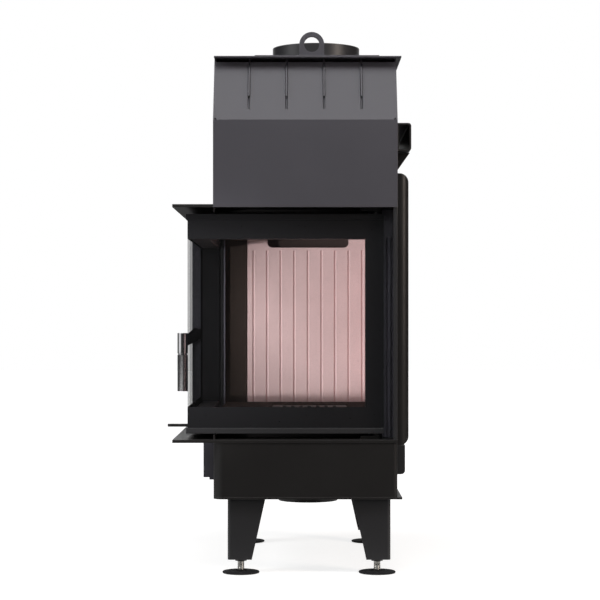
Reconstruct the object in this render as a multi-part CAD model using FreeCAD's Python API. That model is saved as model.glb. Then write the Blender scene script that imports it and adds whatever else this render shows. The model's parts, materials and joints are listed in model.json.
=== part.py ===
import FreeCAD, Part
import math
import os

from FreeCAD import Vector

# Corner fireplace insert: a tall steel stove body on levelling feet, with one L-shaped glass door
# that wraps the front and the left side, a sloped convection hood and a round flue collar.
# Sizes are in millimetres. While it is drawn, X = 0 is the middle of the body, Y = 0 its front and
# Z = 0 the floor. Each piece is then moved so that the origin lies under the middle of the whole part.

# Body and sheet metal
body_width = 364.0
rear_channel = 36.0
sheet = 3.0
bend_radius = 8.0
base_corner_radius = 20.0
right_overhang = 9.5
base_setback = 5.0

# Heights, from the floor up
leg_clearance = 29.0
leg_height = 121.0
base_plate_thick = 4.0
base_height = 107.5
flange_thick = 6.0
gap_under_door = 11.0
door_height = 436.0
gap_over_door = 12.0
hood_wall_height = 166.5
slope_height = 122.0
slope_run = 61.0
panel_gap = 6.0
fold_relief = 3.0
top_plate_thick = 3.0

# Levelling feet and legs
foot_spacing_x = 271.5
foot_spacing_y = 503.0
front_foot_y = 45.0
legs_offset = 7.5
pad_radius = 37.0
pad_thick = 4.0
rod_radius = 7.0
rod_above_leg = 66.0
nut_height = 5.0
nut_corner_radius = 11.5
leg_sheet = 4.0
leg_bend = 7.0
foot_inset = 25.8
leg_top_width = 75.0
leg_foot_width = 48.0

# Air inlet under the base
air_inlet_radius = 62.5
air_inlet_wall = 2.0
air_inlet_length = 29.0
air_inlet_x = 6.5
air_inlet_y = 290.0

# Flanges round the glass, and the firebox
flange_reach = 80.5
jamb_reach = 73.5
glass_reach = 52.0
firebox_depth = 550.0
back_plate_thick = 4.0
wall_return = 8.0
wall_bend = 2.0
seal_gap = 10.0
sill_height = 32.0
lintel_height = 36.6
tongue_height = 9.0
tongue_front = 12.0
left_jamb_width = 44.0
right_jamb_width = 52.0
column_width = 9.0
column_gap = 6.0
column_depth = 12.0
column_height = 403.0
smoke_opening_side = 31.0
smoke_opening_front = 95.0
smoke_opening_rear = 50.0

# Linings, hearth, grate and ash pan
lining_thick = 30.0
lining_gap_right = 3.5
lining_top_height = 432.0
back_lining_width = 276.0
groove_pitch = 30.7
groove_width = 6.0
groove_depth = 3.0
groove_height = 393.0
lining_edge = 3.0
notch_width = 184.0
notch_depth = 32.0
notch_radius = 12.0
hearth_height = 52.0
hearth_chamfer = 3.0
grate_x = 10.0
grate_y = 305.0
grate_width = 160.0
grate_length = 190.0
grate_joint = 1.0
grate_wall = 4.0
grate_thick = 16.0
grate_sink = 2.0
grate_slot_width = 8.0
grate_slot_length = 150.0
grate_slot_pitch = 18.0
grate_slot_count = 7
grate_slot_corner = 2.5
pan_wall = 2.0
pan_depth = 63.0
pan_rim = 10.0
pan_side_gap = 2.0
pan_fit = 1.0
baffle_thick = 25.0
baffle_front = 200.0

# Hood, top and flue
slot_pitch = 74.5
slot_count = 4
slot_width = 4.6
slot_bottom = 22.0
slot_top = 1.5
fin_thick = 3.0
fin_depth = 130.0
fin_tab_bottom = 49.0
fin_tab_top = 11.0
fin_bottom = 6.0
fin_proud = 4.5
top_plate_front = 38.0
flue_x = 23.5
flue_y = 290.0
flue_radius = 92.0
flue_wall = 2.0
flue_height = 46.5
flue_plate_width = 249.0
flue_plate_front = 55.0
flue_plate_thick = 4.0
eye_x = 13.2
eye_y = 85.0
eye_thick = 8.0
eye_radius = 25.0
eye_height = 50.5
eye_hole_radius = 15.5

# Covers, ducts and bracket on the outside
cover_wall = 2.0
side_cover_proud = 26.0
side_cover_front = 60.0
side_cover_length = 470.0
side_cover_drop = 8.5
side_cover_height = 545.0
side_cover_round = 19.0
rear_cover_gap = 3.0
rear_cover_width = 300.0
rear_cover_height = 420.0
rear_cover_round = 12.0
right_duct_proud = 18.0
right_duct_height = 58.0
right_duct_round = 8.0
air_box_proud = 24.0
air_box_front = 100.0
air_box_length = 400.0
air_box_height = 76.0
air_box_lip_width = 12.0
air_box_lip_height = 4.7
bracket_wall = 3.5
bracket_proud = 28.0
bracket_front = 20.0
bracket_length = 420.0
bracket_gap = 2.0
bracket_height = 55.5
bracket_bend = 6.0
gusset_drop = 39.0
gusset_width = 27.5
gusset_setback = 40.0

# Door
glass_setback = 30.0
glass_thick = 4.0
strip_thick = 3.0
strip_height = 11.0
top_rail_height = 46.0
bottom_rail_height = 39.5
hinge_stile_width = 36.0
rear_stile_width = 38.0
door_right_gap = 26.0
door_rear_gap = 3.0
glass_overlap = 5.0
tube_wall = 3.0
tube_edge = 1.5
gasket_width = 9.0
gasket_inset = 14.0

# Hinges
pivot_inset = 12.0
pivot_setback = 15.0
pin_radius = 5.0
pin_length = 30.0
hinge_plate_thick = 6.0
hinge_plate_radius = 10.0
hinge_plate_length = 34.0
plug_length = 30.0
plug_collar_radius = 8.5
plug_fit = 0.2

# Handle and latch
handle_inset = 13.0
handle_height = 193.0
grip_radius = 12.0
grip_length = 132.0
grip_stand_off = 42.5
grip_top_rise = 3.0
spindle_radius = 5.0
hub_radius = 12.0
hub_length = 16.0
neck_width = 12.0
neck_drop = 31.0
neck_height = 22.0
neck_root = 14.0
neck_round = 3.0
tongue_thick = 3.4
tongue_length = 13.0
tongue_width = 9.0
keeper_thick = 3.0
keeper_height = 30.0
keeper_bevel = 2.0

# Air control
lever_y = 412.0
lever_reach = 39.0
lever_width = 16.0
lever_thick = 6.0
lever_boss = 2.0
lever_boss_width = 14.0
lever_travel = 30.0
peg_radius = 4.0
shutter_length = 100.0
shutter_width = 15.0
shutter_thick = 3.0
shutter_drop = 8.0

# Clearances
soft_gap = 0.3
running_gap = 0.05
slide_gap = 1.2

# Planes and levels that several pieces share
left = -body_width / 2
right = body_width / 2
leg_top = leg_clearance + leg_height
base_bottom = leg_top + base_plate_thick
sill_flange_bottom = base_bottom + base_height
sill_flange_top = sill_flange_bottom + flange_thick
door_bottom = sill_flange_top + gap_under_door
door_top = door_bottom + door_height
head_flange_bottom = door_top + gap_over_door
head_flange_top = head_flange_bottom + flange_thick
slope_start = head_flange_top + hood_wall_height
slope_end = slope_start + slope_height
hood_top = slope_end + panel_gap
roof = hood_top + top_plate_thick
flue_plate_top = roof + flue_plate_thick
flange_left = left - flange_reach
back_plate_rear = firebox_depth + back_plate_thick
body_depth = back_plate_rear + rear_channel
side_cover_bottom = sill_flange_bottom - side_cover_drop
bracket_bottom = side_cover_bottom + side_cover_height + bracket_gap + gusset_drop

glass_left = left - glass_reach
glass_front = glass_setback
frame_left = glass_left + glass_thick
frame_front = glass_front + glass_thick
frame_depth = glass_reach - glass_thick - seal_gap
frame_inner_x = frame_left + frame_depth
frame_inner_y = frame_front + frame_depth
seal_y = frame_inner_y + seal_gap
door_right = right - door_right_gap
door_rear = firebox_depth - door_rear_gap
frame_bottom = door_bottom + strip_thick
frame_top = door_top - strip_thick
hinge_stile_left = door_right - hinge_stile_width
rear_stile_front = door_rear - rear_stile_width
pivot_x = door_right - pivot_inset
pivot_y = glass_front + pivot_setback

lining_face = firebox_depth - lining_thick
right_lining_outer = right - sheet - lining_gap_right
right_lining_inner = right_lining_outer - lining_thick
back_lining_left = right_lining_inner - back_lining_width
lining_top = sill_flange_top + lining_top_height
hearth_top = sill_flange_top + hearth_height
seal_rear = seal_y + sheet

handle_y = door_rear - handle_inset
handle_z = door_bottom + handle_height
grip_x = glass_left - grip_stand_off
lever_tip = flange_left - lever_reach
lever_bottom = sill_flange_top + soft_gap + lever_boss
peg_x = left - air_box_proud / 2

slope_length = math.hypot(slope_run, slope_height)
slope_in_y = sheet * slope_height / slope_length
slope_in_z = sheet * slope_run / slope_length


# Helpers

def box(x, y, z):
    """Block between pairs of faces: x, y and z are each a low and a high value."""
    return Part.makeBox(x[1] - x[0], y[1] - y[0], z[1] - z[0], Vector(x[0], y[0], z[0]))


def point_on(axis, along, u, v):
    """Point at a place along an axis, with u and v on the other two axes in X, Y, Z order."""
    if axis == "x":
        return Vector(along, u, v)
    if axis == "y":
        return Vector(u, along, v)
    return Vector(u, v, along)


def prism(axis, span, points):
    """Solid with a straight-sided outline, carried along an axis from one value to another."""
    corners = [point_on(axis, span[0], u, v) for u, v in points]
    outline = Part.Face(Part.makePolygon(corners + corners[:1]))
    return outline.extrude(point_on(axis, span[1] - span[0], 0, 0))


def rod(axis, span, u, v, radius):
    """Round bar along an axis."""
    start = point_on(axis, span[0], u, v)
    return Part.makeCylinder(radius, span[1] - span[0], start, point_on(axis, 1, 0, 0))


def edges_along(shape, axis, wanted):
    """Straight edges along an axis whose middle passes a test."""
    direction = point_on(axis, 1, 0, 0)
    found = []
    for edge in shape.Edges:
        if edge.Curve.TypeId != "Part::GeomLine":
            continue
        run = edge.tangentAt(edge.FirstParameter)
        if near(abs(run.dot(direction)), 1) and wanted(edge.CenterOfMass):
            found.append(edge)
    return found


def rounded(shape, radius, axis, wanted):
    """The shape with some of its edges along an axis rounded."""
    return shape.makeFillet(radius, edges_along(shape, axis, wanted))


def everywhere(middle):
    """Test that takes every edge."""
    return True


def near(value, wanted):
    """True where two values are the same place."""
    return abs(value - wanted) < 1e-4


def merged(first, *others):
    """One solid of several that meet."""
    return first.fuse(list(others)).removeSplitter()


def mirrored(shape, axis, at):
    """The shape seen in a mirror that stands across an axis."""
    return shape.mirror(point_on(axis, at, 0, 0), point_on(axis, 1, 0, 0))


def spread(count, pitch):
    """Places of a row with an even pitch, either side of zero."""
    return [(index - (count - 1) / 2) * pitch for index in range(count)]


def hollow_bar(axis, span, u, v, capped=False):
    """Rectangular steel tube along an axis, with softened edges and, where asked, a closed start."""
    bar = prism(axis, span, [(u[0], v[0]), (u[1], v[0]), (u[1], v[1]), (u[0], v[1])])
    bar = bar.makeChamfer(tube_edge, edges_along(bar, axis, everywhere))
    start = span[0] + (tube_wall if capped else 0)
    low = (u[0] + tube_wall, v[0] + tube_wall)
    high = (u[1] - tube_wall, v[1] - tube_wall)
    core = [low, (high[0], low[1]), high, (low[0], high[1])]
    return bar.cut(prism(axis, (start, span[1]), core))


def end_edges(shape, axis, at):
    """Edges that lie wholly in the plane across an axis at a place."""
    direction = point_on(axis, 1, 0, 0)
    return [edge for edge in shape.Edges if near(edge.CenterOfMass.dot(direction), at)]


def folded_tray(axis, span, u, v, bend):
    """Folded sheet tray, open at the start of its span, with rounded bends round its far face."""
    shells = []
    for inset in (0, cover_wall):
        low = (u[0] + inset, v[0] + inset)
        high = (u[1] - inset, v[1] - inset)
        end = span[1] - inset
        block = prism(axis, (span[0], end), [low, (high[0], low[1]), high, (low[0], high[1])])
        shells.append(block.makeFillet(bend - inset, end_edges(block, axis, end)))
    return shells[0].cut(shells[1])


# Feet and legs

def foot_places():
    """Names and centres of the four feet."""
    places = {}
    for row, y in (("front", front_foot_y), ("rear", front_foot_y + foot_spacing_y)):
        places[row + "_left"] = (legs_offset - foot_spacing_x / 2, y)
        places[row + "_right"] = (legs_offset + foot_spacing_x / 2, y)
    return places


def levelling_foot(x, y):
    """Round pad on the end of a threaded rod."""
    pad = rod("z", (0, pad_thick), x, y, pad_radius)
    return merged(pad, rod("z", (pad_thick, leg_clearance + rod_above_leg), x, y, rod_radius))


def lock_nut(x, y):
    """Hexagon nut that locks a foot under its leg."""
    corners = []
    for index in range(6):
        angle = math.radians(60 * index)
        corners.append((x + nut_corner_radius * math.cos(angle), y + nut_corner_radius * math.sin(angle)))
    span = (leg_clearance - nut_height, leg_clearance)
    return prism("z", span, corners).cut(rod("z", span, x, y, rod_radius + running_gap))


def leg(x, y):
    """Tapered leg folded from one sheet, with a foot plate; its outer bend faces front and left."""
    outer_x = x - foot_inset
    outer_y = y - foot_inset
    taper = [(0, leg_clearance), (leg_foot_width, leg_clearance), (leg_top_width, leg_top), (0, leg_top)]
    front = prism("y", (outer_y, outer_y + leg_sheet), [(outer_x + along, z) for along, z in taper])
    side = prism("x", (outer_x, outer_x + leg_sheet), [(outer_y + along, z) for along, z in taper])
    foot_x = (outer_x, outer_x + leg_foot_width)
    foot_y = (outer_y, outer_y + leg_foot_width)
    plate_z = (leg_clearance, leg_clearance + leg_sheet)
    solid = merged(front, side, box(foot_x, foot_y, plate_z))
    solid = rounded(solid, leg_bend, "z", lambda m: near(m.x, outer_x) and near(m.y, outer_y))
    return solid.cut(rod("z", plate_z, x, y, rod_radius + running_gap))


def all_legs():
    """The four legs, each with its bend outwards."""
    first = leg(legs_offset - foot_spacing_x / 2, front_foot_y)
    middle_y = front_foot_y + foot_spacing_y / 2
    legs = {"front_left": first, "front_right": mirrored(first, "x", legs_offset)}
    for side in ("left", "right"):
        legs["rear_" + side] = mirrored(legs["front_" + side], "y", middle_y)
    return legs


# Base

def base_plate():
    """Floor of the base, with the air hole; it sticks out past the right wall."""
    z = (leg_top, base_bottom)
    plate = box((left, right + right_overhang), (base_setback, body_depth), z)
    plate = rounded(plate, base_corner_radius, "z", lambda m: near(m.x, left) and near(m.y, base_setback))
    return plate.cut(rod("z", z, air_inlet_x, air_inlet_y, air_inlet_radius - air_inlet_wall))


def air_inlet_collar():
    """Spigot for the combustion air hose, welded under the base plate."""
    z = (leg_top - air_inlet_length, leg_top)
    tube = rod("z", z, air_inlet_x, air_inlet_y, air_inlet_radius)
    return tube.cut(rod("z", z, air_inlet_x, air_inlet_y, air_inlet_radius - air_inlet_wall))


def base_box():
    """Sheet wall of the base, bent round at its upright corners, with a wide bend at the front left."""
    shells = []
    for inset in (0, sheet):
        x = (left + inset, right - inset)
        y = (base_setback + inset, body_depth - inset)
        block = box(x, y, (base_bottom, sill_flange_bottom))
        block = rounded(block, bend_radius - inset, "z", lambda m: near(m.x, x[1]) or near(m.y, y[1]))
        wide = base_corner_radius - inset
        shells.append(rounded(block, wide, "z", lambda m: near(m.x, x[0]) and near(m.y, y[0])))
    return shells[0].cut(shells[1])


def air_box():
    """Open-topped air box on the left of the base, round the air shutter, with a lip under it."""
    low = sill_flange_bottom - air_box_height
    y = (air_box_front, air_box_front + air_box_length)
    outer = box((left - air_box_proud, left), y, (low, sill_flange_bottom))
    core_x = (left - air_box_proud + cover_wall, left)
    core_y = (y[0] + cover_wall, y[1] - cover_wall)
    shell = outer.cut(box(core_x, core_y, (low + cover_wall, sill_flange_bottom)))
    return merged(shell, box((left - air_box_lip_width, left), y, (low - air_box_lip_height, low)))


def right_air_duct():
    """Folded air duct on the right of the base, under the side cover."""
    y = (side_cover_front, side_cover_front + side_cover_length)
    z = (side_cover_bottom - right_duct_height, side_cover_bottom)
    outer_right = right + right_duct_proud
    duct = box((right, outer_right), y, z)
    duct = rounded(duct, right_duct_round, "y", lambda m: near(m.x, outer_right) and near(m.z, z[0]))
    core_x = (right, outer_right - cover_wall)
    core = box(core_x, (y[0] + cover_wall, y[1] - cover_wall), (z[0] + cover_wall, z[1] - cover_wall))
    inner = right_duct_round - cover_wall
    return duct.cut(rounded(core, inner, "y", lambda m: near(m.x, core_x[1]) and m.z < (z[0] + z[1]) / 2))


# Flanges and firebox walls

def flange_outline():
    """Plan of the two flange plates: the body, and a wing under or over the side glass."""
    return [
        (flange_left, sheet), (right, sheet), (right, body_depth), (left, body_depth),
        (left, back_plate_rear), (flange_left, back_plate_rear)]


def pan_plan(grow):
    """Spans in X and Y of the ash pan's body, grown on every side."""
    half_x = grate_width / 2 - grate_wall - pan_side_gap - pan_rim + grow
    half_y = grate_length / 2 - grate_wall - pan_side_gap - pan_rim + grow
    return (grate_x - half_x, grate_x + half_x), (grate_y - half_y, grate_y + half_y)


def bottom_flange():
    """Plate under the door and firebox, with the ash opening and the slot of the air lever's peg."""
    z = (sill_flange_bottom, sill_flange_top)
    plate = prism("z", z, flange_outline())
    plate = plate.cut(box(*pan_plan(pan_fit), z))
    half_slot = lever_travel + peg_radius + slide_gap
    slot_x = (peg_x - peg_radius - slide_gap, peg_x + peg_radius + slide_gap)
    return plate.cut(box(slot_x, (lever_y - half_slot, lever_y + half_slot), z))


def top_flange():
    """Plate over the door and firebox, with a wide opening into the hood."""
    z = (head_flange_bottom, head_flange_top)
    opening_x = (left + smoke_opening_side, right - smoke_opening_side)
    opening = box(opening_x, (smoke_opening_front, body_depth - smoke_opening_rear), z)
    return prism("z", z, flange_outline()).cut(opening)


def firebox_back():
    """Back plate of the firebox; its left edge is the jamb behind the side glass."""
    x = (left - jamb_reach, right - sheet)
    return box(x, (firebox_depth, back_plate_rear), (sill_flange_top, head_flange_bottom))


def right_wall():
    """Right wall of the firebox, with its front edge folded inwards."""
    inner = right - sheet
    outline = [
        (right, sheet), (right, back_plate_rear), (inner, back_plate_rear), (inner, 2 * sheet),
        (right - wall_return, 2 * sheet), (right - wall_return, sheet)]
    wall = prism("z", (sill_flange_top, head_flange_bottom), outline)
    return rounded(wall, wall_bend, "z", lambda m: near(m.x, right) and near(m.y, sheet))


def right_jamb():
    """Upright seal plate behind the hinge side of the door, with a round-nosed column in front."""
    inner = right - sheet
    z = (sill_flange_top, head_flange_bottom)
    plate = box((inner - right_jamb_width, inner), (seal_y, seal_rear), z)
    column_right = inner - column_gap
    column_x = (column_right - column_width, column_right)
    front = seal_y - column_depth
    column = box(column_x, (front, seal_y), (sill_flange_top, sill_flange_top + column_height))
    column = rounded(column, column_width / 2 - soft_gap, "z", lambda m: near(m.y, front))
    return merged(plate, column)


def left_jamb():
    """Upright seal plate behind the handle side of the door."""
    y = (firebox_depth - left_jamb_width, firebox_depth)
    return box((left, left + sheet), y, (sill_flange_top, head_flange_bottom))


def seal_strips(edge, height, tongue):
    """Two strips that the door closes on: one behind the front glass, one behind the side glass.

    edge is the flange face that they stand on; height and tongue are measured from it, down if negative.
    """
    front_right = right - sheet - right_jamb_width
    z = sorted((edge, edge + height))
    front = box((left + sheet, front_right), (seal_y, seal_rear), z)
    rear = firebox_depth - left_jamb_width
    outline = [
        (tongue_front, edge), (rear, edge), (rear, edge + height), (seal_y, edge + height),
        (seal_y, edge + tongue), (tongue_front, edge + tongue)]
    return [front, prism("x", (left, left + sheet), outline)]


# Linings and hearth

def back_lining():
    """Fireclay back plate with upright grooves and a wide notch at its top."""
    x = (back_lining_left, right_lining_inner)
    middle = (x[0] + x[1]) / 2
    lining = box(x, (lining_face, firebox_depth), (sill_flange_top, lining_top))
    sides = edges_along(lining, "z", lambda m: near(m.y, lining_face))
    lining = lining.makeChamfer(lining_edge, sides)
    count = int((back_lining_width - 2 * groove_width) / groove_pitch) + 1
    for place in spread(count, groove_pitch):
        half = groove_width / 2
        outline = [
            (middle + place - half, lining_face), (middle + place + half, lining_face),
            (middle + place, lining_face + groove_depth)]
        lining = lining.cut(prism("z", (sill_flange_top, sill_flange_top + groove_height), outline))
    notch_x = (middle - notch_width / 2, middle + notch_width / 2)
    notch_bottom = lining_top - notch_depth
    notch = box(notch_x, (lining_face, firebox_depth), (notch_bottom, lining_top))
    return lining.cut(rounded(notch, notch_radius, "y", lambda m: near(m.z, notch_bottom)))


def right_lining():
    """Fireclay plate on the right wall, grooved like the back."""
    x = (right_lining_inner, right_lining_outer)
    lining = box(x, (seal_rear, firebox_depth), (sill_flange_top, lining_top))
    length = lining_face - seal_rear
    count = int((length - 2 * groove_width) / groove_pitch) + 1
    for place in spread(count, groove_pitch):
        y = seal_rear + length / 2 + place
        half = groove_width / 2
        outline = [
            (right_lining_inner, y - half), (right_lining_inner + groove_depth, y),
            (right_lining_inner, y + half)]
        lining = lining.cut(prism("z", (hearth_top, sill_flange_top + groove_height), outline))
    return lining


def left_lining():
    """Narrow plate between the back lining and the left jamb."""
    x = (left + sheet, back_lining_left)
    return box(x, (lining_face, firebox_depth), (sill_flange_top, lining_top))


def hearth_bricks():
    """Four floor bricks round the grate, with chamfered top edges."""
    half_x = grate_width / 2 + grate_joint
    half_y = grate_length / 2 + grate_joint
    x = (left + sheet, grate_x - half_x, grate_x + half_x, right_lining_inner)
    y = (seal_rear, grate_y - half_y, grate_y + half_y, lining_face)
    z = (sill_flange_top, hearth_top)
    bricks = []
    for span_x, span_y in (((x[0], x[3]), (y[0], y[1])), ((x[0], x[3]), (y[2], y[3])),
                           ((x[0], x[1]), (y[1], y[2])), ((x[2], x[3]), (y[1], y[2]))):
        brick = box(span_x, span_y, z)
        bricks.append(brick.makeChamfer(hearth_chamfer, end_edges(brick, "z", hearth_top)))
    return bricks


def grate():
    """Cast grate with soft-ended slots, on a skirt that stands round the ash opening."""
    x = (grate_x - grate_width / 2, grate_x + grate_width / 2)
    y = (grate_y - grate_length / 2, grate_y + grate_length / 2)
    top = hearth_top - grate_sink
    solid = box(x, y, (sill_flange_top, top))
    core_x = (x[0] + grate_wall, x[1] - grate_wall)
    core_y = (y[0] + grate_wall, y[1] - grate_wall)
    solid = solid.cut(box(core_x, core_y, (sill_flange_top, top - grate_thick)))
    for place in spread(grate_slot_count, grate_slot_pitch):
        slot_x = (grate_x + place - grate_slot_width / 2, grate_x + place + grate_slot_width / 2)
        slot_y = (grate_y - grate_slot_length / 2, grate_y + grate_slot_length / 2)
        slot = box(slot_x, slot_y, (top - grate_thick, top))
        solid = solid.cut(slot.makeChamfer(grate_slot_corner, edges_along(slot, "z", everywhere)))
    return solid


def ash_pan():
    """Sheet pan that hangs by its rim in the ash opening."""
    low = sill_flange_top - pan_depth
    body = box(*pan_plan(0), (low, sill_flange_top))
    rim = box(*pan_plan(pan_rim), (sill_flange_top, sill_flange_top + pan_wall))
    core = box(*pan_plan(-pan_wall), (low + pan_wall, sill_flange_top + pan_wall))
    return merged(body, rim).cut(core)


def smoke_baffle():
    """Fireclay plate that lies on the linings and sends the smoke round its front edge."""
    x = (left + sheet, right_lining_outer)
    return box(x, (baffle_front, firebox_depth), (lining_top, lining_top + baffle_thick))


# Hood and top

def slope_outer(z):
    """Depth of the sloped panel's outer face at a height."""
    return (z - slope_start) * slope_run / slope_height


def slope_inner(z):
    """Depth of the sloped panel's inner face at a height."""
    return slope_in_y + (z - slope_start + slope_in_z) * slope_run / slope_height


def hood_bend():
    """Height of the fold on the inside of the hood's front panel."""
    return slope_start - slope_in_z + (sheet - slope_in_y) * slope_height / slope_run


def slot_places():
    """Places across the hood of its fin slots."""
    return spread(slot_count, slot_pitch)


def hood_front():
    """Front panel of the hood: a wall, and a slope folded back between the side walls, with fin slots."""
    fold = [(0, slope_start), (sheet, hood_bend())]
    wall = prism("x", (left, right), fold + [(sheet, head_flange_bottom), (0, head_flange_bottom)])
    slope_x = (left + sheet, right - sheet)
    slope = prism("x", slope_x, fold + [(slope_inner(slope_end), slope_end), (slope_run, slope_end)])
    relief_z = (slope_start, slope_start + fold_relief)
    for x in (slope_x[0], slope_x[1] - fold_relief):
        slope = slope.cut(box((x, x + fold_relief), (0, slope_inner(relief_z[1])), relief_z))
    panel = merged(wall, slope)
    for place in slot_places():
        slot_x = (place - slot_width / 2, place + slot_width / 2)
        slot_z = (slope_start + slot_bottom, slope_end - slot_top)
        panel = panel.cut(box(slot_x, (0, slope_inner(slope_end)), slot_z))
    return panel


def hood_side(x):
    """Side wall of the hood, behind the front wall and level with its slope."""
    outline = [
        (sheet, head_flange_top), (body_depth - sheet, head_flange_top), (body_depth - sheet, hood_top),
        (slope_outer(hood_top), hood_top), (0, slope_start), (sheet, hood_bend())]
    return prism("x", (x, x + sheet), outline)


def hood_back():
    """Rear wall of the hood."""
    return box((left, right), (body_depth - sheet, body_depth), (head_flange_top, hood_top))


def hood_fins():
    """Heat fins inside the hood, each with a tab that stands through its slot."""
    tab = (slope_start + fin_tab_bottom, slope_end - fin_tab_top)
    low = slope_start + fin_bottom
    rear = slope_run + fin_depth
    outline = [(slope_inner(low) + soft_gap, low), (rear, low), (rear, hood_top)]
    outline.append((slope_inner(hood_top) + soft_gap, hood_top))
    outline.append((slope_inner(tab[1]) + soft_gap, tab[1]))
    outline.append((slope_outer(tab[1]) - fin_proud, tab[1]))
    outline.append((slope_outer(tab[0]) - fin_proud, tab[0]))
    outline.append((slope_inner(tab[0]) + soft_gap, tab[0]))
    return [prism("x", (place - fin_thick / 2, place + fin_thick / 2), outline) for place in slot_places()]


def flue_bore(z):
    """Round passage into the flue."""
    return rod("z", z, flue_x, flue_y, flue_radius - flue_wall)


def top_plate():
    """Roof of the hood, which overhangs the slope and the right wall."""
    z = (hood_top, roof)
    plate = box((left, right + right_overhang), (top_plate_front, body_depth), z)
    return plate.cut(flue_bore(z))


def flue_plate():
    """Long plate that carries the flue collar and the lifting eye."""
    z = (roof, flue_plate_top)
    half = flue_plate_width / 2
    plate = box((flue_x - half, flue_x + half), (flue_plate_front, 2 * flue_y - flue_plate_front), z)
    return plate.cut(flue_bore(z))


def flue_collar():
    """Round collar for the flue pipe."""
    z = (flue_plate_top, flue_plate_top + flue_height)
    return rod("z", z, flue_x, flue_y, flue_radius).cut(flue_bore(z))


def lifting_eye():
    """Round-topped plate with a hole for a lifting hook."""
    y = (eye_y - eye_thick / 2, eye_y + eye_thick / 2)
    centre = flue_plate_top + eye_height - eye_radius
    plate = box((eye_x - eye_radius, eye_x + eye_radius), y, (flue_plate_top, centre))
    solid = merged(plate, rod("y", y, eye_x, centre, eye_radius))
    return solid.cut(rod("y", y, eye_x, centre, eye_hole_radius))


# Covers and bracket on the outside

def side_cover():
    """Folded air cover on the right wall."""
    y = (side_cover_front, side_cover_front + side_cover_length)
    z = (side_cover_bottom, side_cover_bottom + side_cover_height)
    return folded_tray("x", (right, right + side_cover_proud), y, z, side_cover_round)


def rear_cover():
    """Folded air cover on the firebox's back plate."""
    middle = (sill_flange_top + head_flange_bottom) / 2
    x = (-rear_cover_width / 2, rear_cover_width / 2)
    z = (middle - rear_cover_height / 2, middle + rear_cover_height / 2)
    return folded_tray("y", (back_plate_rear, body_depth - rear_cover_gap), x, z, rear_cover_round)


def side_bracket():
    """Folded square channel on the hood's right wall, with a gusset under it."""
    y = (bracket_front, bracket_front + bracket_length)
    x = (right, right + bracket_proud)
    z = (bracket_bottom, bracket_bottom + bracket_height)
    channel = box(x, y, z)
    channel = rounded(channel, bracket_bend, "y", lambda m: near(m.x, x[1]))
    core = box((x[0] + bracket_wall, x[1] - bracket_wall), y, (z[0] + bracket_wall, z[1] - bracket_wall))
    inner_right = x[1] - bracket_wall
    core = rounded(core, bracket_bend - bracket_wall, "y", lambda m: near(m.x, inner_right))
    channel = channel.cut(core)
    gusset_y = (bracket_front + gusset_setback, bracket_front + gusset_setback + bracket_wall)
    corner = (right, bracket_bottom - gusset_drop)
    gusset = prism("y", gusset_y, [corner, (right + gusset_width, bracket_bottom), (right, bracket_bottom)])
    return [channel, gusset]


# Door

def front_rail(z):
    """Rail behind the front glass, closed at the glass corner."""
    return hollow_bar("x", (frame_left, hinge_stile_left), (frame_front, frame_inner_y), z, capped=True)


def side_rail(z):
    """Rail behind the side glass."""
    return hollow_bar("y", (frame_inner_y, rear_stile_front), (frame_left, frame_inner_x), z)


def hinge_stile():
    """Upright tube on the hinge side."""
    x = (hinge_stile_left, door_right)
    return hollow_bar("z", (frame_bottom, frame_top), x, (frame_front, frame_inner_y))


def rear_stile():
    """Upright tube on the handle side, with a step outwards where the glass ends and a spindle hole."""
    step = rear_stile_front + glass_overlap
    outline = [
        (frame_left, rear_stile_front), (frame_left, step), (glass_left, step), (glass_left, door_rear),
        (frame_inner_x, door_rear), (frame_inner_x, rear_stile_front)]
    z = (frame_bottom, frame_top)
    stile = prism("z", z, outline)
    stile = stile.makeChamfer(tube_edge, edges_along(stile, "z", lambda m: near(m.y, door_rear)))
    core_x = (frame_left + tube_wall, frame_inner_x - tube_wall)
    stile = stile.cut(box(core_x, (rear_stile_front + tube_wall, door_rear - tube_wall), z))
    bore = spindle_radius + running_gap
    return stile.cut(rod("x", (glass_left, frame_inner_x), handle_y, handle_z, bore))


def front_glass():
    """Ceramic glass pane of the front, which covers the edge of the side pane."""
    return box((glass_left, door_right), (glass_front, frame_front), (frame_bottom, frame_top))


def side_glass():
    """Ceramic glass pane of the left side."""
    y = (frame_front, rear_stile_front + glass_overlap)
    return box((glass_left, frame_left), y, (frame_bottom, frame_top))


def glass_strips(edge, inwards):
    """Angle strips along one edge of both panes; inwards is +1 from the bottom and -1 from the top."""
    lip = sorted((edge, edge + inwards * strip_height))
    cap = sorted((edge, edge + inwards * strip_thick))
    outer_x = glass_left - strip_thick
    outer_y = glass_front - strip_thick
    front_lip = box((outer_x, door_right), (outer_y, glass_front), lip)
    front_cap = box((glass_left, door_right), (glass_front, frame_inner_y), cap)
    front = merged(front_lip, front_cap)
    corner = edges_along(front, "z", lambda m: near(m.x, outer_x) and near(m.y, outer_y))
    front = front.makeChamfer(strip_thick / 2, corner)
    front = front.cut(rod("z", cap, pivot_x, pivot_y, plug_collar_radius + soft_gap))
    side_lip = box((outer_x, glass_left), (glass_front, door_rear), lip)
    side_cap = box((glass_left, frame_inner_x), (frame_inner_y, door_rear), cap)
    return [front, merged(side_lip, side_cap)]


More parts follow.
